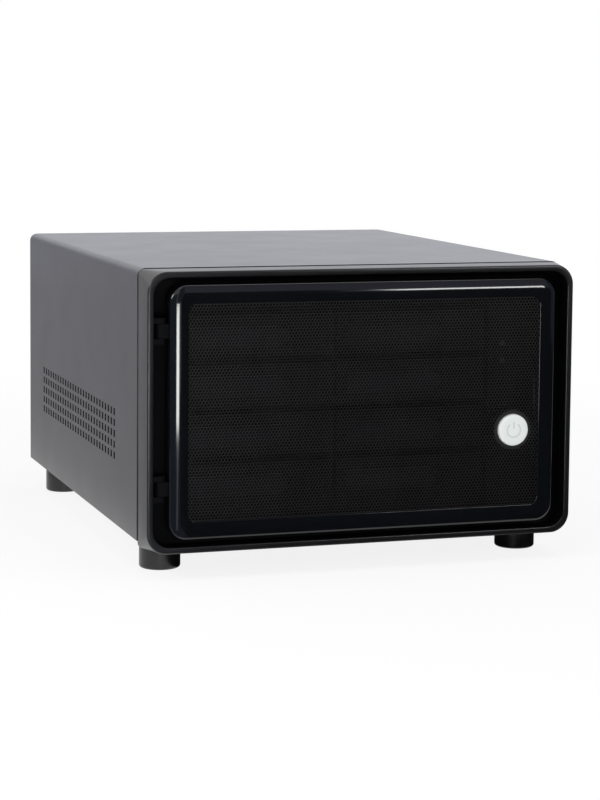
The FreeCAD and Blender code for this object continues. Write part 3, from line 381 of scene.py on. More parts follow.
LUG_THICKNESS = 3.5 * MM
LUG_ROOT = 1 * MM
ROUND_STEPS = 8
ROUND_SHARE = 0.995
MARGIN = 0.1 * MM
hinge_boxes = [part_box("upper_hinge_pin"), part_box("lower_hinge_pin")]


def outline_of(low, high, depth, side, top, radius):
    """Points once round a rounded rectangle at a depth, in from a box by side and top."""
    points = []
    for turn, (across, rise) in enumerate(((1, 1), (-1, 1), (-1, -1), (1, -1))):
        corner_x = (high.x - side if across > 0 else low.x + side) - across * radius
        corner_z = (high.z - top if rise > 0 else low.z + top) - rise * radius
        for step in range(CORNER_STEPS + 1):
            angle = math.pi / 2 * (turn + step / CORNER_STEPS)
            points.append(Vector((corner_x + radius * math.cos(angle), depth,
                                  corner_z + radius * math.sin(angle))))
    return points


def ring_of(low, high, sections):
    """A closed ring whose section is walked once round: (depth, side, top, corner radius) each."""
    rows = [outline_of(low, high, *section) for section in sections]
    bpy.ops.mesh.primitive_circle_add(vertices=len(rows[0]), radius=1)
    edit()
    form = bmesh.from_edit_mesh(bpy.context.object.data)
    form.verts.ensure_lookup_table()
    for point, place in zip(form.verts, rows[0]):
        point.co = place
    bmesh.update_edit_mesh(bpy.context.object.data)
    for here, there in zip(rows, rows[1:] + rows[:1]):
        bpy.ops.mesh.extrude_region_move()
        form = bmesh.from_edit_mesh(bpy.context.object.data)
        for point in form.verts:
            if point.select:
                nearest = min(range(len(here)), key=lambda i: (here[i] - point.co).length_squared)
                point.co = there[nearest]
        bmesh.update_edit_mesh(bpy.context.object.data)
    bpy.ops.mesh.select_all(action="SELECT")
    bpy.ops.mesh.remove_doubles(threshold=0.001 * MM)
    bpy.ops.mesh.normals_make_consistent(inside=False)
    leave()


def rounded(side_to, top_to, depth, edge, radius, outward, steps=6):
    """Sections of a rounded front edge, walking from the side wall onto the front face.

    Outward is 1 for the outer edge of a ring and -1 for an inner edge walked the other way.
    """
    rows = []
    for i in range(steps + 1):
        turn = math.pi / 2 * i / steps
        if outward < 0:
            turn = math.pi / 2 - turn
        step = edge * (1 - math.cos(turn))
        rows.append((depth + edge * (1 - math.sin(turn)), side_to + outward * step,
                     top_to + outward * step, radius - outward * step))
    return rows


def bezel_plastic():
    """Satin moulded black, a little smoother than the coated steel."""
    finish = Finish("satin black moulding", IOR=1.56)
    clouds = finish.noise(40.0, 2.0)
    grain = finish.noise(2200.0, 2.0)
    finish.feed("Base Color", finish.tint(clouds, (0.004, 0.004, 0.005), (0.006, 0.006, 0.007)))
    finish.feed("Roughness", 0.24 + clouds * 0.08 + grain * 0.05)
    finish.feed("Normal", finish.grain(grain, 0.18, 0.00008))
    return finish.material


def recess_plastic_with_painted_shade():
    """The spark-eroded inside of the recess, quite matt; its darker black is painted shade."""
    finish = Finish("matt recess with painted shade", Specular_IOR_Level=0.06)
    grain = finish.noise(1800.0, 2.0)
    # Painted shade: a black darker than the bezel's, for the shade in the well and on the hinge.
    dark, light = (0.0020, 0.0022, 0.0028), (0.0030, 0.0032, 0.0040)
    finish.feed("Base Color", finish.tint(grain, dark, light))
    finish.feed("Roughness", 0.62 + grain * 0.1)
    finish.feed("Normal", finish.grain(grain, 0.2, 0.00012))
    return finish.material


def add_block(low, high):
    """A plain block between two corners, as a new object."""
    bpy.ops.mesh.primitive_cube_add(size=1, location=(low + high) / 2, scale=high - low)
    bpy.ops.object.transform_apply(location=True, rotation=True, scale=True)


def join_to(piece, *others):
    bpy.ops.object.select_all(action="DESELECT")
    for other in (*others, piece):
        other.select_set(True)
    bpy.context.view_layer.objects.active = piece
    bpy.ops.object.join()


sections = [(BEZEL_SEAM_Y, 0, 0, SEAM_CORNER)]
sections += rounded(0, 0, LIP_Y, LIP_EDGE, LIP_CORNER, 1)
sections += rounded(LIP_WIDTH, LIP_WIDTH, LIP_Y, LIP_INNER_EDGE, WELL_CORNER, -1, 3)
sections += [
    (WELL_FLOOR_Y, LIP_WIDTH, LIP_WIDTH, WELL_CORNER),
    (WELL_FLOOR_Y, MOUTH_SIDE, MOUTH_TOP, MOUTH_CORNER),
    (WELL_FLOOR_Y + WALL, MOUTH_SIDE, MOUTH_TOP, MOUTH_CORNER),
    (WELL_FLOOR_Y + WALL, WALL, WALL, SEAM_CORNER),
    (BEZEL_SEAM_Y, WALL, WALL, SEAM_CORNER),
]
ring_of(bezel_low, bezel_high, sections)
bezel = bpy.context.object


def round_end(low, high, side):
    """Rounds the two upright edges at one end of the block in hand, to just short of meeting."""
    edit()
    bpy.ops.mesh.select_all(action="DESELECT")
    bpy.ops.mesh.select_mode(type="EDGE")
    form = bmesh.from_edit_mesh(bpy.context.object.data)
    for edge in form.edges:
        start, end = (point.co for point in edge.verts)
        edge.select = close_to(start.x, side) and close_to(end.x, side) and close_to(start.y, end.y)
    bmesh.update_edit_mesh(bpy.context.object.data)
    bpy.ops.mesh.bevel(offset=(high.y - low.y) / 2 * ROUND_SHARE, segments=ROUND_STEPS,
                       affect="EDGES")
    leave()


lugs = []
for low, high in hinge_boxes:
    for bottom in (low.z, high.z - LUG_THICKNESS):
        corner = Vector((bezel_low.x + LIP_WIDTH - LUG_ROOT, HINGE_Y - LUG_RADIUS, bottom))
        far = Vector((HINGE_X + LUG_RADIUS, HINGE_Y + LUG_RADIUS, bottom + LUG_THICKNESS))
        add_block(corner, far)
        round_end(corner, far, far.x)
        lugs.append(bpy.context.object)
join_to(bezel, *lugs)
bezel = settle("bezel_moulding", "case", bezel_plastic())
# The recess and the hinge lugs take the matt finish, whose darker black is painted shade.
bezel.data.materials.append(recess_plastic_with_painted_shade())
recess_side = bezel_high.x - LIP_WIDTH + MARGIN
recess_top, recess_bottom = bezel_high.z - LIP_WIDTH + MARGIN, bezel_low.z + LIP_WIDTH - MARGIN
for face in bezel.data.polygons:
    inside = abs(face.center.x) < recess_side and recess_bottom < face.center.z < recess_top
    on_lug = face.center.x < 0 and any(low.z < face.center.z + MARGIN < high.z + 2 * MARGIN
                                       for low, high in hinge_boxes)
    if inside and (on_lug or face.center.y > LIP_Y + SATIN_DEPTH):
        face.material_index = 1
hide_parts("front_bezel")

# Hinge pins: two short rods of blackened steel, pressed through the bezel's lugs. The knuckles of
# the door turn on them.


def pin_steel():
    finish = Finish("pin steel", Metallic=1.0)
    lines = finish.noise(900.0, 2.0, (1, 1, 0.05))
    finish.feed("Base Color", finish.tint(lines, (0.020, 0.020, 0.022), (0.035, 0.035, 0.038)))
    finish.feed("Roughness", 0.30 + lines * 0.1)
    return finish.material


paint(pin_steel(), "upper_hinge_pin", "lower_hinge_pin")

# Thumbscrews: four turned screws of black oxide steel with a knurled rim and a dished face. They
# go through the cover's rear flanges into the rear wall.
THUMB_RADIUS, THUMB_NECK, THUMB_FOOT = 5 * MM, 4.6 * MM, 3.6 * MM
THUMB_FACE, THUMB_DISH = 4.5 * MM, 3.4 * MM
DISH_BOTTOM = 3.0 * MM
FOOT_HEIGHT, NECK_HEIGHT, RIM_HEIGHT = 1.2 * MM, 2.0 * MM, 2.4 * MM
THUMB_EDGE = 0.6 * MM
THUMB_KNURLS = 28
KNURL_DEPTH = 0.35 * MM


def black_steel():
    finish = Finish("black oxide steel", Metallic=0.6)
    spots = finish.noise(700.0, 2.0)
    finish.feed("Base Color", finish.tint(spots, (0.020, 0.020, 0.021), (0.045, 0.045, 0.047)))
    finish.feed("Roughness", 0.32 + spots * 0.15)
    return finish.material


screw_steel = black_steel()
thumb_low, thumb_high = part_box("cover_thumbscrews")
thumbs = []
for x in (thumb_low.x + THUMB_RADIUS, thumb_high.x - THUMB_RADIUS):
    for z in (thumb_low.z + THUMB_RADIUS, thumb_high.z - THUMB_RADIUS):
        centre = Vector((x, thumb_low.y, z))
        back = thumb_high.y - thumb_low.y
        rings = [(THUMB_FOOT, 0), (THUMB_NECK, FOOT_HEIGHT), (THUMB_NECK, NECK_HEIGHT),
                 (THUMB_RADIUS, RIM_HEIGHT), (THUMB_RADIUS, back - THUMB_EDGE), (THUMB_FACE, back),
                 (THUMB_DISH, back), (DISH_BOTTOM, back - THUMB_EDGE)]
        turn_rings(centre, "Y", rings, THUMB_KNURLS * 2)
        edit()
        form = bmesh.from_edit_mesh(bpy.context.object.data)
        for point in form.verts:
            out = Vector((point.co.x - centre.x, 0, point.co.z - centre.z))
            step = round(math.atan2(out.z, out.x) / math.pi * THUMB_KNURLS)
            if step % 2 and close_to(out.length, THUMB_RADIUS):
                point.co -= out.normalized() * KNURL_DEPTH
        bmesh.update_edit_mesh(bpy.context.object.data)
        leave()
        thumbs.append(bpy.context.object)
join_to(thumbs[0], *thumbs[1:])
piece = settle("thumbscrews_knurled", "case", screw_steel)
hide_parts("cover_thumbscrews")

# Panel screws: small dome-headed cross screws of black oxide steel. Four hold the fan to the rear
# panel and one holds the slot cover.
_, panel_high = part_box("rear_panel")
fan_low, fan_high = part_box("fan_frame")
slot_low, slot_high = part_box("slot_cover")
FAN_SCREW_IN = 4.2 * MM
SLOT_SCREW_DOWN = 6 * MM
HEAD_RADIUS, HEAD_HEIGHT = 3.1 * MM, 1.3 * MM
HEAD_STEPS = 24
CROSS_LONG, CROSS_SHORT = 1.9 * MM, 0.4 * MM
CROSS_FLOOR, CROSS_TOP = 0.4 * MM, 2 * MM


def dome_screw(centre):
    """Dome head with a cross recess, its flat side on the panel."""
    rings = [(HEAD_RADIUS * math.cos(t), HEAD_HEIGHT * math.sin(t)) for t in (0.0, 0.4, 0.8, 1.2)]
    turn_rings(centre, "Y", rings, HEAD_STEPS)
    screw = bpy.context.object
    blades = []
    for wide, tall in ((CROSS_LONG, CROSS_SHORT), (CROSS_SHORT, CROSS_LONG)):
        add_block(centre + Vector((-wide, CROSS_FLOOR, -tall)),
                  centre + Vector((wide, CROSS_TOP, tall)))
        blades.append(bpy.context.object)
    for blade in blades:
        bpy.ops.object.select_all(action="DESELECT")
        bpy.context.view_layer.objects.active = screw
        modify("BOOLEAN", operation="DIFFERENCE", object=blade, solver="EXACT")
        bpy.data.objects.remove(blade)
    return screw


screws = []
for x in (fan_low.x + FAN_SCREW_IN, fan_high.x - FAN_SCREW_IN):
    for z in (fan_low.z + FAN_SCREW_IN, fan_high.z - FAN_SCREW_IN):
        screws.append(dome_screw(Vector((x, panel_high.y, z))))
slot_middle = (slot_low.x + slot_high.x) / 2
screws.append(dome_screw(Vector((slot_middle, panel_high.y, slot_high.z - SLOT_SCREW_DOWN))))
join_to(screws[0], *screws[1:])
piece = settle("panel_screws", "case", screw_steel)

# Black mouldings: the drive trays, sockets and control strip, the mesh's and the button's holders,
# the sealed switch and the fan. They are injection moulded with a fine grain, and their black is
# set darker still as a painted shade for the dark inside the case. The levers of the trays are a
# very dark slate.
TRAY_COUNT = 8


def black_moulding_with_painted_shade():
    finish = Finish("black moulding", Specular_IOR_Level=0.07)
    grain = finish.noise(1400.0, 2.0)
    # Painted shade: the black is set darker than the plastic's own, for the dark inside the case.
    dark, light = (0.0016, 0.0016, 0.0019), (0.0030, 0.0030, 0.0034)
    finish.feed("Base Color", finish.tint(grain, dark, light))
    finish.feed("Roughness", 0.52 + grain * 0.12)
    finish.feed("Normal", finish.grain(grain, 0.15, 0.0001))
    return finish.material


def lever_moulding():
    finish = Finish("slate lever moulding", Specular_IOR_Level=0.10)
    grain = finish.noise(1200.0, 2.0)
    dark, light = (0.0030, 0.0036, 0.0050), (0.0055, 0.0065, 0.0090)
    finish.feed("Base Color", finish.tint(grain, dark, light))
    finish.feed("Roughness", 0.38 + grain * 0.1)
    finish.feed("Normal", finish.grain(grain, 0.12, 0.0001))
    return finish.material


tray_numbers = range(1, TRAY_COUNT + 1)
paint(black_moulding_with_painted_shade(), *[f"drive_tray_{i}" for i in tray_numbers], "drive_sockets",
      "control_strip", "mesh_retainer", "button_sleeve", "button_retainer", "power_switch",
      "fan_frame", "fan_rotor")
paint(lever_moulding(), *[f"tray_lever_{i}" for i in tray_numbers])

# Circuit boards: glass fibre laminate with a very dark green solder mask over its tracks. One
# carries the switch, and two narrow ones stand behind the drives. The mask's colour is darkened
# further, a painted shade for the dark behind the door.


def solder_mask_with_painted_shade():
    finish = Finish("solder mask with painted shade", Specular_IOR_Level=0.2)
    tracks = finish.place.node("ShaderNodeTexBrick", {"offset": 0.5}, {
        "Vector": finish.place, "Scale": 60.0, "Mortar Size": 0.03, "Color1": (0, 0, 0, 1),
        "Color2": (0, 0, 0, 1), "Mortar": (1, 1, 1, 1)}, 1)
    # Painted shade: the green is darkened further for the dark behind the door.
    dark, light = (0.0030, 0.0065, 0.0045), (0.0060, 0.0130, 0.0090)
    finish.feed("Base Color", finish.tint(tracks, dark, light))
    finish.feed("Roughness", 0.42 - tracks * 0.1)
    return finish.material


paint(solder_mask_with_painted_shade(), "switch_board", "backplane_board")

# Magnet, light guides and standoffs: a block of bonded ferrite on the bezel's flange, rods of
# smoked plastic in the control strip, and turned brass posts in the pan for the main board.


def ferrite():
    finish = Finish("bonded ferrite")
    grain = finish.noise(900.0, 3.0)
    finish.feed("Base Color", finish.tint(grain, (0.030, 0.028, 0.027), (0.060, 0.056, 0.052)))
    finish.feed("Roughness", 0.55 + grain * 0.2)
    return finish.material


def light_guide():
    finish = Finish("smoked light guide")
    depth = finish.noise(300.0, 1.0)
    finish.feed("Base Color", finish.tint(depth, (0.008, 0.010, 0.014), (0.012, 0.015, 0.020)))
    finish.feed("Roughness", 0.3 + depth * 0.1)
    return finish.material


def turned_brass():
    finish = Finish("turned brass", Metallic=1.0)
    lines = finish.noise(800.0, 2.0, (1, 1, 12))
    finish.feed("Base Color", finish.tint(lines, (0.46, 0.31, 0.11), (0.64, 0.46, 0.20)))
    finish.feed("Roughness", 0.28 + lines * 0.12)
    return finish.material


paint(ferrite(), "catch_magnet")
paint(light_guide(), "status_lights")
paint(turned_brass(), "board_standoffs")

# Door frame: a polished piano black moulding with a crowned outer edge, a flat land and a soft
# inner edge that the mesh lies behind. Two matt knuckles on its left side turn on the hinge pins.
door_low, door_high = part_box("door_frame")
DOOR_LEFT, DOOR_RIGHT = -door_high.x, door_high.x
DOOR_CROWN, DOOR_EDGE = 14 * MM, 2.2 * MM
CROWN_TURN = math.radians(30)
EDGE_STEPS, CROWN_STEPS = 6, 10
DOOR_CORNER = 12 * MM
DOOR_RIM = 12.2 * MM
MESH_CORNER = 5.5 * MM
LAND_CORNER = MESH_CORNER * 0.8
RIM_EDGE = 0.4 * MM
RIM_OVERLAP = 3 * MM
RIM_THICKNESS = 1 * MM
SEAT = DOOR_RIM - RIM_OVERLAP
KNUCKLE_PLAY = 0.3 * MM
KNUCKLE_ROOT = 1 * MM


def piano_black():
    """Polished black with hardly any texture."""
    finish = Finish("piano black moulding", IOR=1.5)
    swirl = finish.noise(14.0, 2.0)
    dark, light = (0.0025, 0.0028, 0.0036), (0.0044, 0.0048, 0.0062)
    finish.feed("Base Color", finish.tint(swirl, dark, light))
    finish.feed("Roughness", 0.07 + swirl * 0.05)
    finish.feed("Normal", finish.grain(swirl, 0.02, 0.0002))
    return finish.material


sections = [(door_high.y, 0, 0, DOOR_CORNER)]
edge_width = DOOR_EDGE * (1 - math.sin(CROWN_TURN))
crown_width = edge_width + DOOR_CROWN * math.sin(CROWN_TURN)
crown_depth = DOOR_CROWN * (1 - math.cos(CROWN_TURN))
for step in range(EDGE_STEPS + 1):
    turn = math.pi / 2 - (math.pi / 2 - CROWN_TURN) * step / EDGE_STEPS
    side = DOOR_EDGE * (1 - math.sin(turn))
    depth = door_low.y + crown_depth + DOOR_EDGE * (math.cos(CROWN_TURN) - math.cos(turn))
    sections.append((depth, side, side, DOOR_CORNER - side))
for step in range(1, CROWN_STEPS + 1):
    turn = CROWN_TURN * (1 - step / CROWN_STEPS)
    side = crown_width - DOOR_CROWN * math.sin(turn)
    depth = door_low.y + DOOR_CROWN * (1 - math.cos(turn))
    sections.append((depth, side, side, max(DOOR_CORNER - side, LAND_CORNER)))
sections += rounded(DOOR_RIM, DOOR_RIM, door_low.y, RIM_EDGE, MESH_CORNER, -1, 4)
sections += [
    (door_low.y + RIM_THICKNESS, DOOR_RIM, DOOR_RIM, MESH_CORNER),
    (door_low.y + RIM_THICKNESS, SEAT, SEAT, MESH_CORNER + RIM_OVERLAP),
    (door_high.y, SEAT, SEAT, MESH_CORNER + RIM_OVERLAP),
]
ring_of(Vector((DOOR_LEFT, door_low.y, door_low.z)), door_high, sections)
door = bpy.context.object
knuckles = []
for low, high in hinge_boxes:
    bottom, top = low.z + LUG_THICKNESS + KNUCKLE_PLAY, high.z - LUG_THICKNESS - KNUCKLE_PLAY
    corner = Vector((HINGE_X - LUG_RADIUS, HINGE_Y - LUG_RADIUS, bottom))
    far = Vector((DOOR_LEFT + KNUCKLE_ROOT, HINGE_Y + LUG_RADIUS, top))
    add_block(corner, far)
    round_end(corner, far, corner.x)
    knuckles.append(bpy.context.object)
join_to(door, *knuckles)
door = settle("door_frame_moulding", "door", piano_black())
# The knuckles take the matt finish, whose darker black is painted shade.
door.data.materials.append(recess_plastic_with_painted_shade())
for face in door.data.polygons:
    if face.center.x < DOOR_LEFT - MARGIN:
        face.material_index = 1
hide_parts("door_frame")

# Door mesh: thin steel sheet pressed with fine staggered holes, painted satin black, with a plain
# ring where the button passes through. Its edge lies under the door frame's rim. It is drawn in
# bands one above the other, because the holes are so many.
mesh_low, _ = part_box("door_mesh")
button_low, button_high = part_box("power_button")
HOLE_PITCH = 2.2 * MM
ROW_PITCH = HOLE_PITCH * math.sqrt(3) / 2
HOLE_RADIUS = 1.015 * MM
HOLE_CORNERS = 8
CORNER_TURN = math.tau / HOLE_CORNERS
INSET = 0.05 * MM
MESH_SHEET = 0.5 * MM
MESH_BANDS = 3
BUTTON_RADIUS = 10.75 * MM
BUTTON_GAP = 0.35 * MM
PLAIN_RING = 2.2 * MM
RING_STEPS = 96
RING_SHEET = MESH_SHEET * 0.98
button_centre = Vector(((button_low.x + button_high.x) / 2, 0, (button_low.z + button_high.z) / 2))
view_x = DOOR_RIGHT - DOOR_RIM
view_low_z, view_high_z = door_low.z + DOOR_RIM, door_high.z - DOOR_RIM
columns = math.ceil(2 * view_x / HOLE_PITCH) + 1
double_rows = math.ceil((view_high_z - view_low_z) / ROW_PITCH / 2 / MESH_BANDS)
first = Vector((-HOLE_PITCH * (columns - 0.5) / 2, mesh_low.y,
                (view_low_z + view_high_z) / 2 - ROW_PITCH * (double_rows * MESH_BANDS - 0.5)))
plain_out = BUTTON_RADIUS + BUTTON_GAP + PLAIN_RING
cut_out = plain_out - 0.4 * HOLE_PITCH


def mesh_paint():
    """Satin black dip paint, slightly warm where it thins on the strands."""
    finish = Finish("mesh paint", IOR=1.52)
    clouds = finish.noise(60.0, 2.0)
    finish.feed("Base Color", finish.tint(clouds, (0.010, 0.0095, 0.0095), (0.015, 0.014, 0.014)))
    finish.feed("Roughness", 0.34 + clouds * 0.12)
    return finish.material


def punched_band(start):
    """Some rows of staggered round holes in a sheet, from the middle of its first hole.

    A disc is pushed out to a square, its inner edge is made the hole, and the cell is repeated.
    """
    bpy.ops.mesh.primitive_circle_add(vertices=HOLE_CORNERS, radius=1, fill_type="NGON",
                                      location=start, rotation=(math.pi / 2, 0, 0))
    bpy.ops.object.transform_apply(location=True, rotation=True)
    edit()
    form = bmesh.from_edit_mesh(bpy.context.object.data)
    for point in form.verts:
        out = point.co - start
        if min(abs(out.x), abs(out.z)) > 0.1:
            corner = Vector((math.copysign(0.5, out.x), 0, math.copysign(0.5, out.z)))
            point.co = start + corner
    bmesh.update_edit_mesh(bpy.context.object.data)
    bpy.ops.mesh.select_all(action="SELECT")
    bpy.ops.transform.resize(value=(HOLE_PITCH / 2, 1, ROW_PITCH), center_override=start)
    bpy.ops.mesh.inset(thickness=INSET, depth=0)
    form = bmesh.from_edit_mesh(bpy.context.object.data)
    for point in form.verts:
        if point.select:
            out = point.co - start
            angle = math.atan2(out.z / ROW_PITCH, out.x / HOLE_PITCH * 2)
            turn = CORNER_TURN * round(angle / CORNER_TURN)
            point.co = start + Vector((math.cos(turn), 0, math.sin(turn))) * HOLE_RADIUS
    bmesh.update_edit_mesh(bpy.context.object.data)
    bpy.ops.mesh.delete(type="FACE")
    leave()
    repeat(2, x=HOLE_PITCH / 2, z=ROW_PITCH)
    repeat(columns, x=HOLE_PITCH)
    repeat(double_rows, z=ROW_PITCH * 2)
    edit()
    pick(lambda p: math.hypot(p.x - button_centre.x, p.z - button_centre.z) < cut_out)
    bpy.ops.mesh.delete(type="VERT")
    leave()
    modify("SOLIDIFY", thickness=MESH_SHEET, offset=-1)


mesh_material = mesh_paint()
for band in range(MESH_BANDS):
    bpy.ops.object.select_all(action="DESELECT")
    punched_band(first + Vector((0, 0, ROW_PITCH * 2 * double_rows * band)))
    mesh = settle(f"door_mesh_band_{band + 1}", "door", mesh_material)
    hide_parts("door_mesh")

bpy.ops.object.select_all(action="DESELECT")
ring_middle = (button_centre.x, mesh_low.y + MESH_SHEET / 2, button_centre.z)
bpy.ops.mesh.primitive_cylinder_add(vertices=RING_STEPS, radius=plain_out, depth=RING_SHEET,
                                    location=ring_middle, rotation=(math.pi / 2, 0, 0))
bpy.ops.object.transform_apply(location=True, rotation=True)
edit()
bpy.ops.mesh.select_all(action="DESELECT")
form = bmesh.from_edit_mesh(bpy.context.object.data)
for face in form.faces:
    face.select = len(face.verts) > 4
bmesh.update_edit_mesh(bpy.context.object.data)
bpy.ops.mesh.select_mode(type="FACE")
bpy.ops.mesh.inset(thickness=PLAIN_RING, depth=0)
bpy.ops.mesh.bridge_edge_loops()
bpy.ops.mesh.select_mode(type="VERT")
leave()
ring = settle("button_ring_plain", "door", mesh_material)

# Power button: white moulded cap with a slightly crowned face and a soft edge. The power symbol is
# a pale grey ring and stroke, level with the middle of the face. The button's collar and stem run
# in the sleeve behind the mesh.
CROWN = [(1.0 * MM, 0), (5.5 * MM, 0.04 * MM), (8.0 * MM, 0.12 * MM)]
CROWN_DEPTH = 0.2 * MM
BUTTON_EDGE = 1.3 * MM
BUTTON_STEPS = 72
SLEEVE_POCKET = 7.0 * MM
COLLAR_PLAY = 0.3 * MM
COLLAR_THICKNESS = 1.6 * MM
STEM_RADIUS = 4 * MM
RING_RADIUS = 4.8 * MM
RING_LINE = 1.15 * MM
RING_HEIGHT = 0.18 * MM
RING_GAP = 0.62
ARC_STEPS = 40
STROKE_FOOT, STROKE_OVER = 1.0 * MM, 0.9 * MM


def white_moulding():
    finish = Finish("white moulding", Coat_Weight=0.3, Coat_Roughness=0.3)
    clouds = finish.noise(220.0, 2.0)
    finish.feed("Base Color", finish.tint(clouds, (0.67, 0.70, 0.69), (0.72, 0.745, 0.735)))
    finish.feed("Roughness", 0.34 + clouds * 0.1)
    return finish.material


def grey_print():
    finish = Finish("pale grey ring")
    clouds = finish.noise(400.0, 2.0)
    finish.feed("Base Color", finish.tint(clouds, (0.51, 0.55, 0.55), (0.57, 0.61, 0.61)))
    finish.feed("Roughness", 0.4 + clouds * 0.1)
    return finish.material


face = Vector((button_centre.x, button_low.y, button_centre.z))
length = button_high.y - button_low.y
collar = (button_high.x - button_low.x) / 2
collar_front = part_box("button_sleeve")[1].y - button_low.y - SLEEVE_POCKET + COLLAR_PLAY
collar_back = collar_front + COLLAR_THICKNESS
rings = CROWN + quarter_round(BUTTON_RADIUS, CROWN_DEPTH, BUTTON_EDGE)
rings += [(BUTTON_RADIUS, collar_front), (collar, collar_front), (collar, collar_back),
          (STEM_RADIUS, collar_back), (STEM_RADIUS, length)]
turn_rings(face, "Y", rings, BUTTON_STEPS)
button = settle("power_button_cap", "power_button", white_moulding())
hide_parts("power_button")

ring_y = face.y + RING_HEIGHT / 2
ring_start = (face.x + RING_RADIUS, ring_y, face.z)
bpy.ops.mesh.primitive_plane_add(size=1, location=ring_start)
bpy.ops.object.transform_apply(location=True)
edit()
bpy.ops.mesh.select_all(action="SELECT")
bpy.ops.transform.resize(value=(RING_LINE, RING_HEIGHT, 1), center_override=ring_start)
bpy.ops.mesh.spin(steps=ARC_STEPS, angle=math.tau - 2 * RING_GAP, center=face, axis=(0, 1, 0))
bpy.ops.mesh.select_all(action="SELECT")
bpy.ops.mesh.normals_make_consistent(inside=False)
leave()
arc = bpy.context.object
upright = Matrix.Rotation(-(math.pi / 2 + RING_GAP), 4, "Y")
arc.data.transform(Matrix.Translation(face) @ upright @ Matrix.Translation(-face))
bpy.ops.object.select_all(action="DESELECT")
stroke_top = face.z + RING_RADIUS + STROKE_OVER
add_block(Vector((face.x - RING_LINE / 2, ring_y - RING_HEIGHT / 2, face.z + STROKE_FOOT)),
          Vector((face.x + RING_LINE / 2, ring_y + RING_HEIGHT / 2, stroke_top)))
join_to(arc, bpy.context.object)
mark = settle("power_ring", "power_button", grey_print())

# Studio: a pale floor, soft lamps, and the camera where the photograph was taken from. Dark and
# pale cards, which show only in reflections, give the black faces their shading.
PICTURE_WIDTH, PICTURE_HEIGHT = 600, 800
FOCAL = 2256.95
CENTRE_X, CENTRE_Y = 300.0, 300.0
ROLL, YAW, PITCH = 0.00894, 0.31852, -0.09422
CAMERA_PLACE = Vector((-507.5, -1585.3, 320.9)) * MM
SENSOR = 36.0
AMBIENT = 0.55
FLOOR_SIDE = 12
DIM_WITHIN, FULL_BEYOND = 0.25, 1.0
DIM_SHARE = 0.86
BLACK, SHADE, GREY = (0, 0, 0), (0.10, 0.13, 0.18), (0.54, 0.53, 0.56)
DUSK, CEILING, BRIGHT = (0.34, 0.34, 0.44), (0.3, 0.3, 0.34), (0.85, 0.9, 1.1)
COOL = (0.3, 0.42, 1)
GLINT_LENGTH = 0.7
GLINT_TURN = math.radians(-10.65)
GLINT_TIP = Vector((-0.136, -0.19, 0))

camera_data = bpy.data.cameras.new("camera")
camera = bpy.data.objects.new("camera", camera_data)
bpy.context.scene.collection.objects.link(camera)
camera_data.sensor_width = SENSOR
camera_data.lens = FOCAL / PICTURE_HEIGHT * SENSOR
camera_data.shift_x = (PICTURE_WIDTH / 2 - CENTRE_X) / PICTURE_HEIGHT
camera_data.shift_y = (CENTRE_Y - PICTURE_HEIGHT / 2) / PICTURE_HEIGHT
camera_data.clip_start, camera_data.clip_end = 0.05, 50
level = math.cos(PITCH)
ahead = Vector((math.sin(YAW) * level, math.cos(YAW) * level, math.sin(PITCH)))
right = Vector((math.cos(YAW), -math.sin(YAW), 0))
up = right.cross(ahead)
tilted_right = right * math.cos(ROLL) + up * math.sin(ROLL)
tilted_up = up * math.cos(ROLL) - right * math.sin(ROLL)
turn = Matrix((tilted_right, tilted_up, -ahead)).transposed().to_4x4()
camera.matrix_world = Matrix.Translation(CAMERA_PLACE) @ turn
bpy.context.scene.camera = camera


def add_lamp(name, place, aim, width, height, power):
    """A soft rectangular lamp turned towards a point."""
    data = bpy.data.lights.new(name, "AREA")
    data.shape = "RECTANGLE"
    data.size, data.size_y = width, height
    data.energy = power
    lamp = bpy.data.objects.new(name, data)
    bpy.context.scene.collection.objects.link(lamp)
    lamp.location = place
    lamp.rotation_euler = (Vector(aim) - Vector(place)).to_track_quat("-Z", "Y").to_euler()
    lamp.visible_camera = False
    return lamp


def add_card(name, low, high, colour):
    """A plain card between two corners, which shows only in reflections."""
    add_block(Vector(low), Vector(high))
    card = bpy.context.object
    card.name = name
    paper = bpy.data.materials.new(name)
    paper.use_nodes = True
    sockets = paper.node_tree.nodes["Principled BSDF"].inputs
    sockets["Base Color"].default_value = (0, 0, 0, 1)
    sockets["Specular IOR Level"].default_value = 0
    sockets["Emission Color"].default_value = (*colour, 1)
    sockets["Emission Strength"].default_value = 1
    card.data.materials.append(paper)
    card.visible_camera = False
    card.visible_diffuse = False
    card.visible_shadow = False
    card.visible_transmission = False
    card.select_set(False)
    card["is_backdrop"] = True
    return card


add_lamp("top lamp", (0.1, -0.3, 1.8), (0, 0, 0.1), 1.6, 1.2, 10)
add_lamp("left strip", (-0.247, -0.78, 0.07), (-0.133, -0.19, 0.12), 0.15, 0.13, 1.15)
add_lamp("upper strip", (0.47, -0.96, 0.40), (0.08, -0.19, 0.19), 0.3, 0.10, 1.6)
add_lamp("corner lamp", (-0.56, -0.255, 0.40), (-0.135, -0.19, 0.19), 0.12, 0.15, 1.1)
back_lamp = add_lamp("back lamp", (0.5, 1.6, 0.45), (0.1, 0, 0.2), 2.4, 0.8, 0.9)
back_lamp.data.color = COOL
add_card("front card", (-0.05, -1.105, 0), (1.5, -1.1, 0.53), BLACK)
add_card("upper front card", (-0.05, -1.105, 0.53), (1.5, -1.1, 1.7), DUSK)
add_card("front floor card", (-0.115, -1.1, 0.001), (1.5, -0.204, 0.002), BLACK)
add_card("foot card", (-0.12, -0.189, 0.001), (0.5, 0.0, 0.002), BLACK)
add_card("right card", (1.5, -1.1, 0), (1.505, 0.4, 1.7), SHADE)
add_card("ceiling card", (-0.4, -1.1, 1.4), (1.5, -0.2, 1.405), CEILING)
add_card("gap card", (-0.41, -1.105, 0.125), (-0.05, -1.1, 1.7), SHADE)
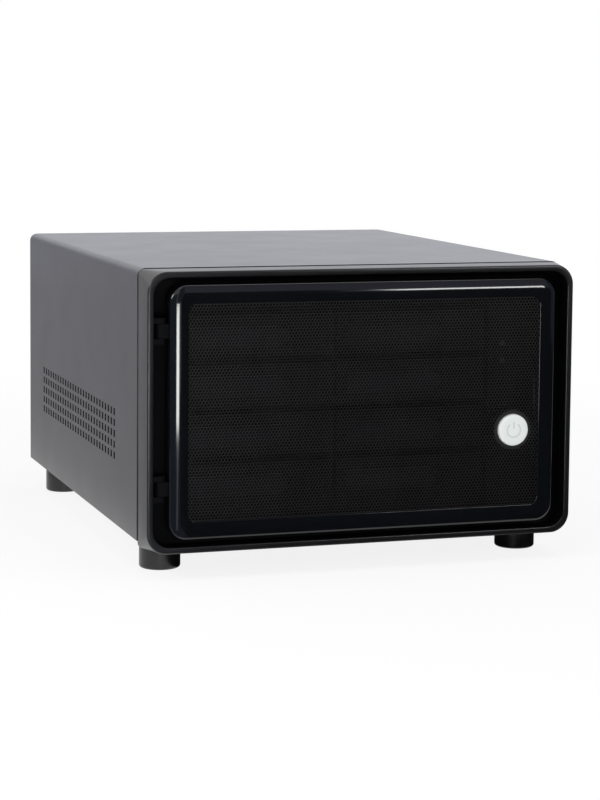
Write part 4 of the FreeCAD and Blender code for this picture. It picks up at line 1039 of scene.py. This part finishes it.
add_card("corner card", (-1.0, -0.955, 0), (-0.41, -0.95, 0.6), SHADE)
add_card("left card", (-0.605, -0.95, 0), (-0.6, 0.05, 0.5), SHADE)
add_card("left floor card", (-0.6, -1.1, 0.001), (-0.115, -0.204, 0.002), SHADE)
glint = add_card("glint card", (-0.042, -GLINT_LENGTH, 0.003), (0.042, -0.05, 0.004), BRIGHT)
for point in glint.data.vertices:
    point.co.x *= -point.co.y / GLINT_LENGTH
glint.data.transform(Matrix.Translation(GLINT_TIP) @ Matrix.Rotation(GLINT_TURN, 4, "Z"))
add_card("side floor card", (-1.6, -0.1, 0.001), (-0.19, 2.4, 0.002), GREY)
add_card("side rear card", (-1.6, 2.4, 0), (-0.25, 2.405, 0.7), GREY)

world = bpy.data.worlds.new("studio")
bpy.context.scene.world = world
world.use_nodes = True
background = world.node_tree.nodes["Background"]
path = world.node_tree.nodes.new("ShaderNodeLightPath")
shown = Signal(path.outputs["Is Camera Ray"]) + Signal(path.outputs["Is Glossy Ray"])
shown = shown + Signal(path.outputs["Is Transmission Ray"])
strength = AMBIENT + shown * (1 - AMBIENT)
world.node_tree.links.new(strength.socket, background.inputs["Strength"])
background.inputs["Color"].default_value = (1, 1, 1, 1)

bpy.ops.mesh.primitive_plane_add(size=FLOOR_SIDE, location=(0, 0, 0))
floor = bpy.context.object
floor.name = "floor"
floor_material = bpy.data.materials.new("pale floor")
floor_material.use_nodes = True
tree = floor_material.node_tree
floor_shader = tree.nodes["Principled BSDF"]
floor_shader.inputs["Base Color"].default_value = (0.9, 0.9, 0.9, 1)
floor_shader.inputs["Roughness"].default_value = 0.9
glow = tree.nodes.new("ShaderNodeEmission")
path = tree.nodes.new("ShaderNodeLightPath")
seen = Signal(path.outputs["Is Camera Ray"]) + Signal(path.outputs["Is Glossy Ray"])
spot = Signal(tree.nodes.new("ShaderNodeTexCoord").outputs["Object"])
away = spot.node("ShaderNodeVectorMath", {"operation": "LENGTH"}, {0: spot}, 1)
fade = away.node("ShaderNodeMapRange", {"interpolation_type": "SMOOTHSTEP"},
                 {"Value": away, "From Min": DIM_WITHIN, "From Max": FULL_BEYOND,
                  "To Min": DIM_SHARE, "To Max": 1.0})
share = (seen + Signal(path.outputs["Is Transmission Ray"])) * fade
mix = tree.nodes.new("ShaderNodeMixShader")
tree.links.new(share.socket, mix.inputs[0])
tree.links.new(floor_shader.outputs[0], mix.inputs[1])
tree.links.new(glow.outputs[0], mix.inputs[2])
tree.links.new(mix.outputs[0], tree.nodes["Material Output"].inputs["Surface"])
floor.data.materials.append(floor_material)
floor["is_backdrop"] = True

bpy.context.scene.view_settings.view_transform = "Standard"
low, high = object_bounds()
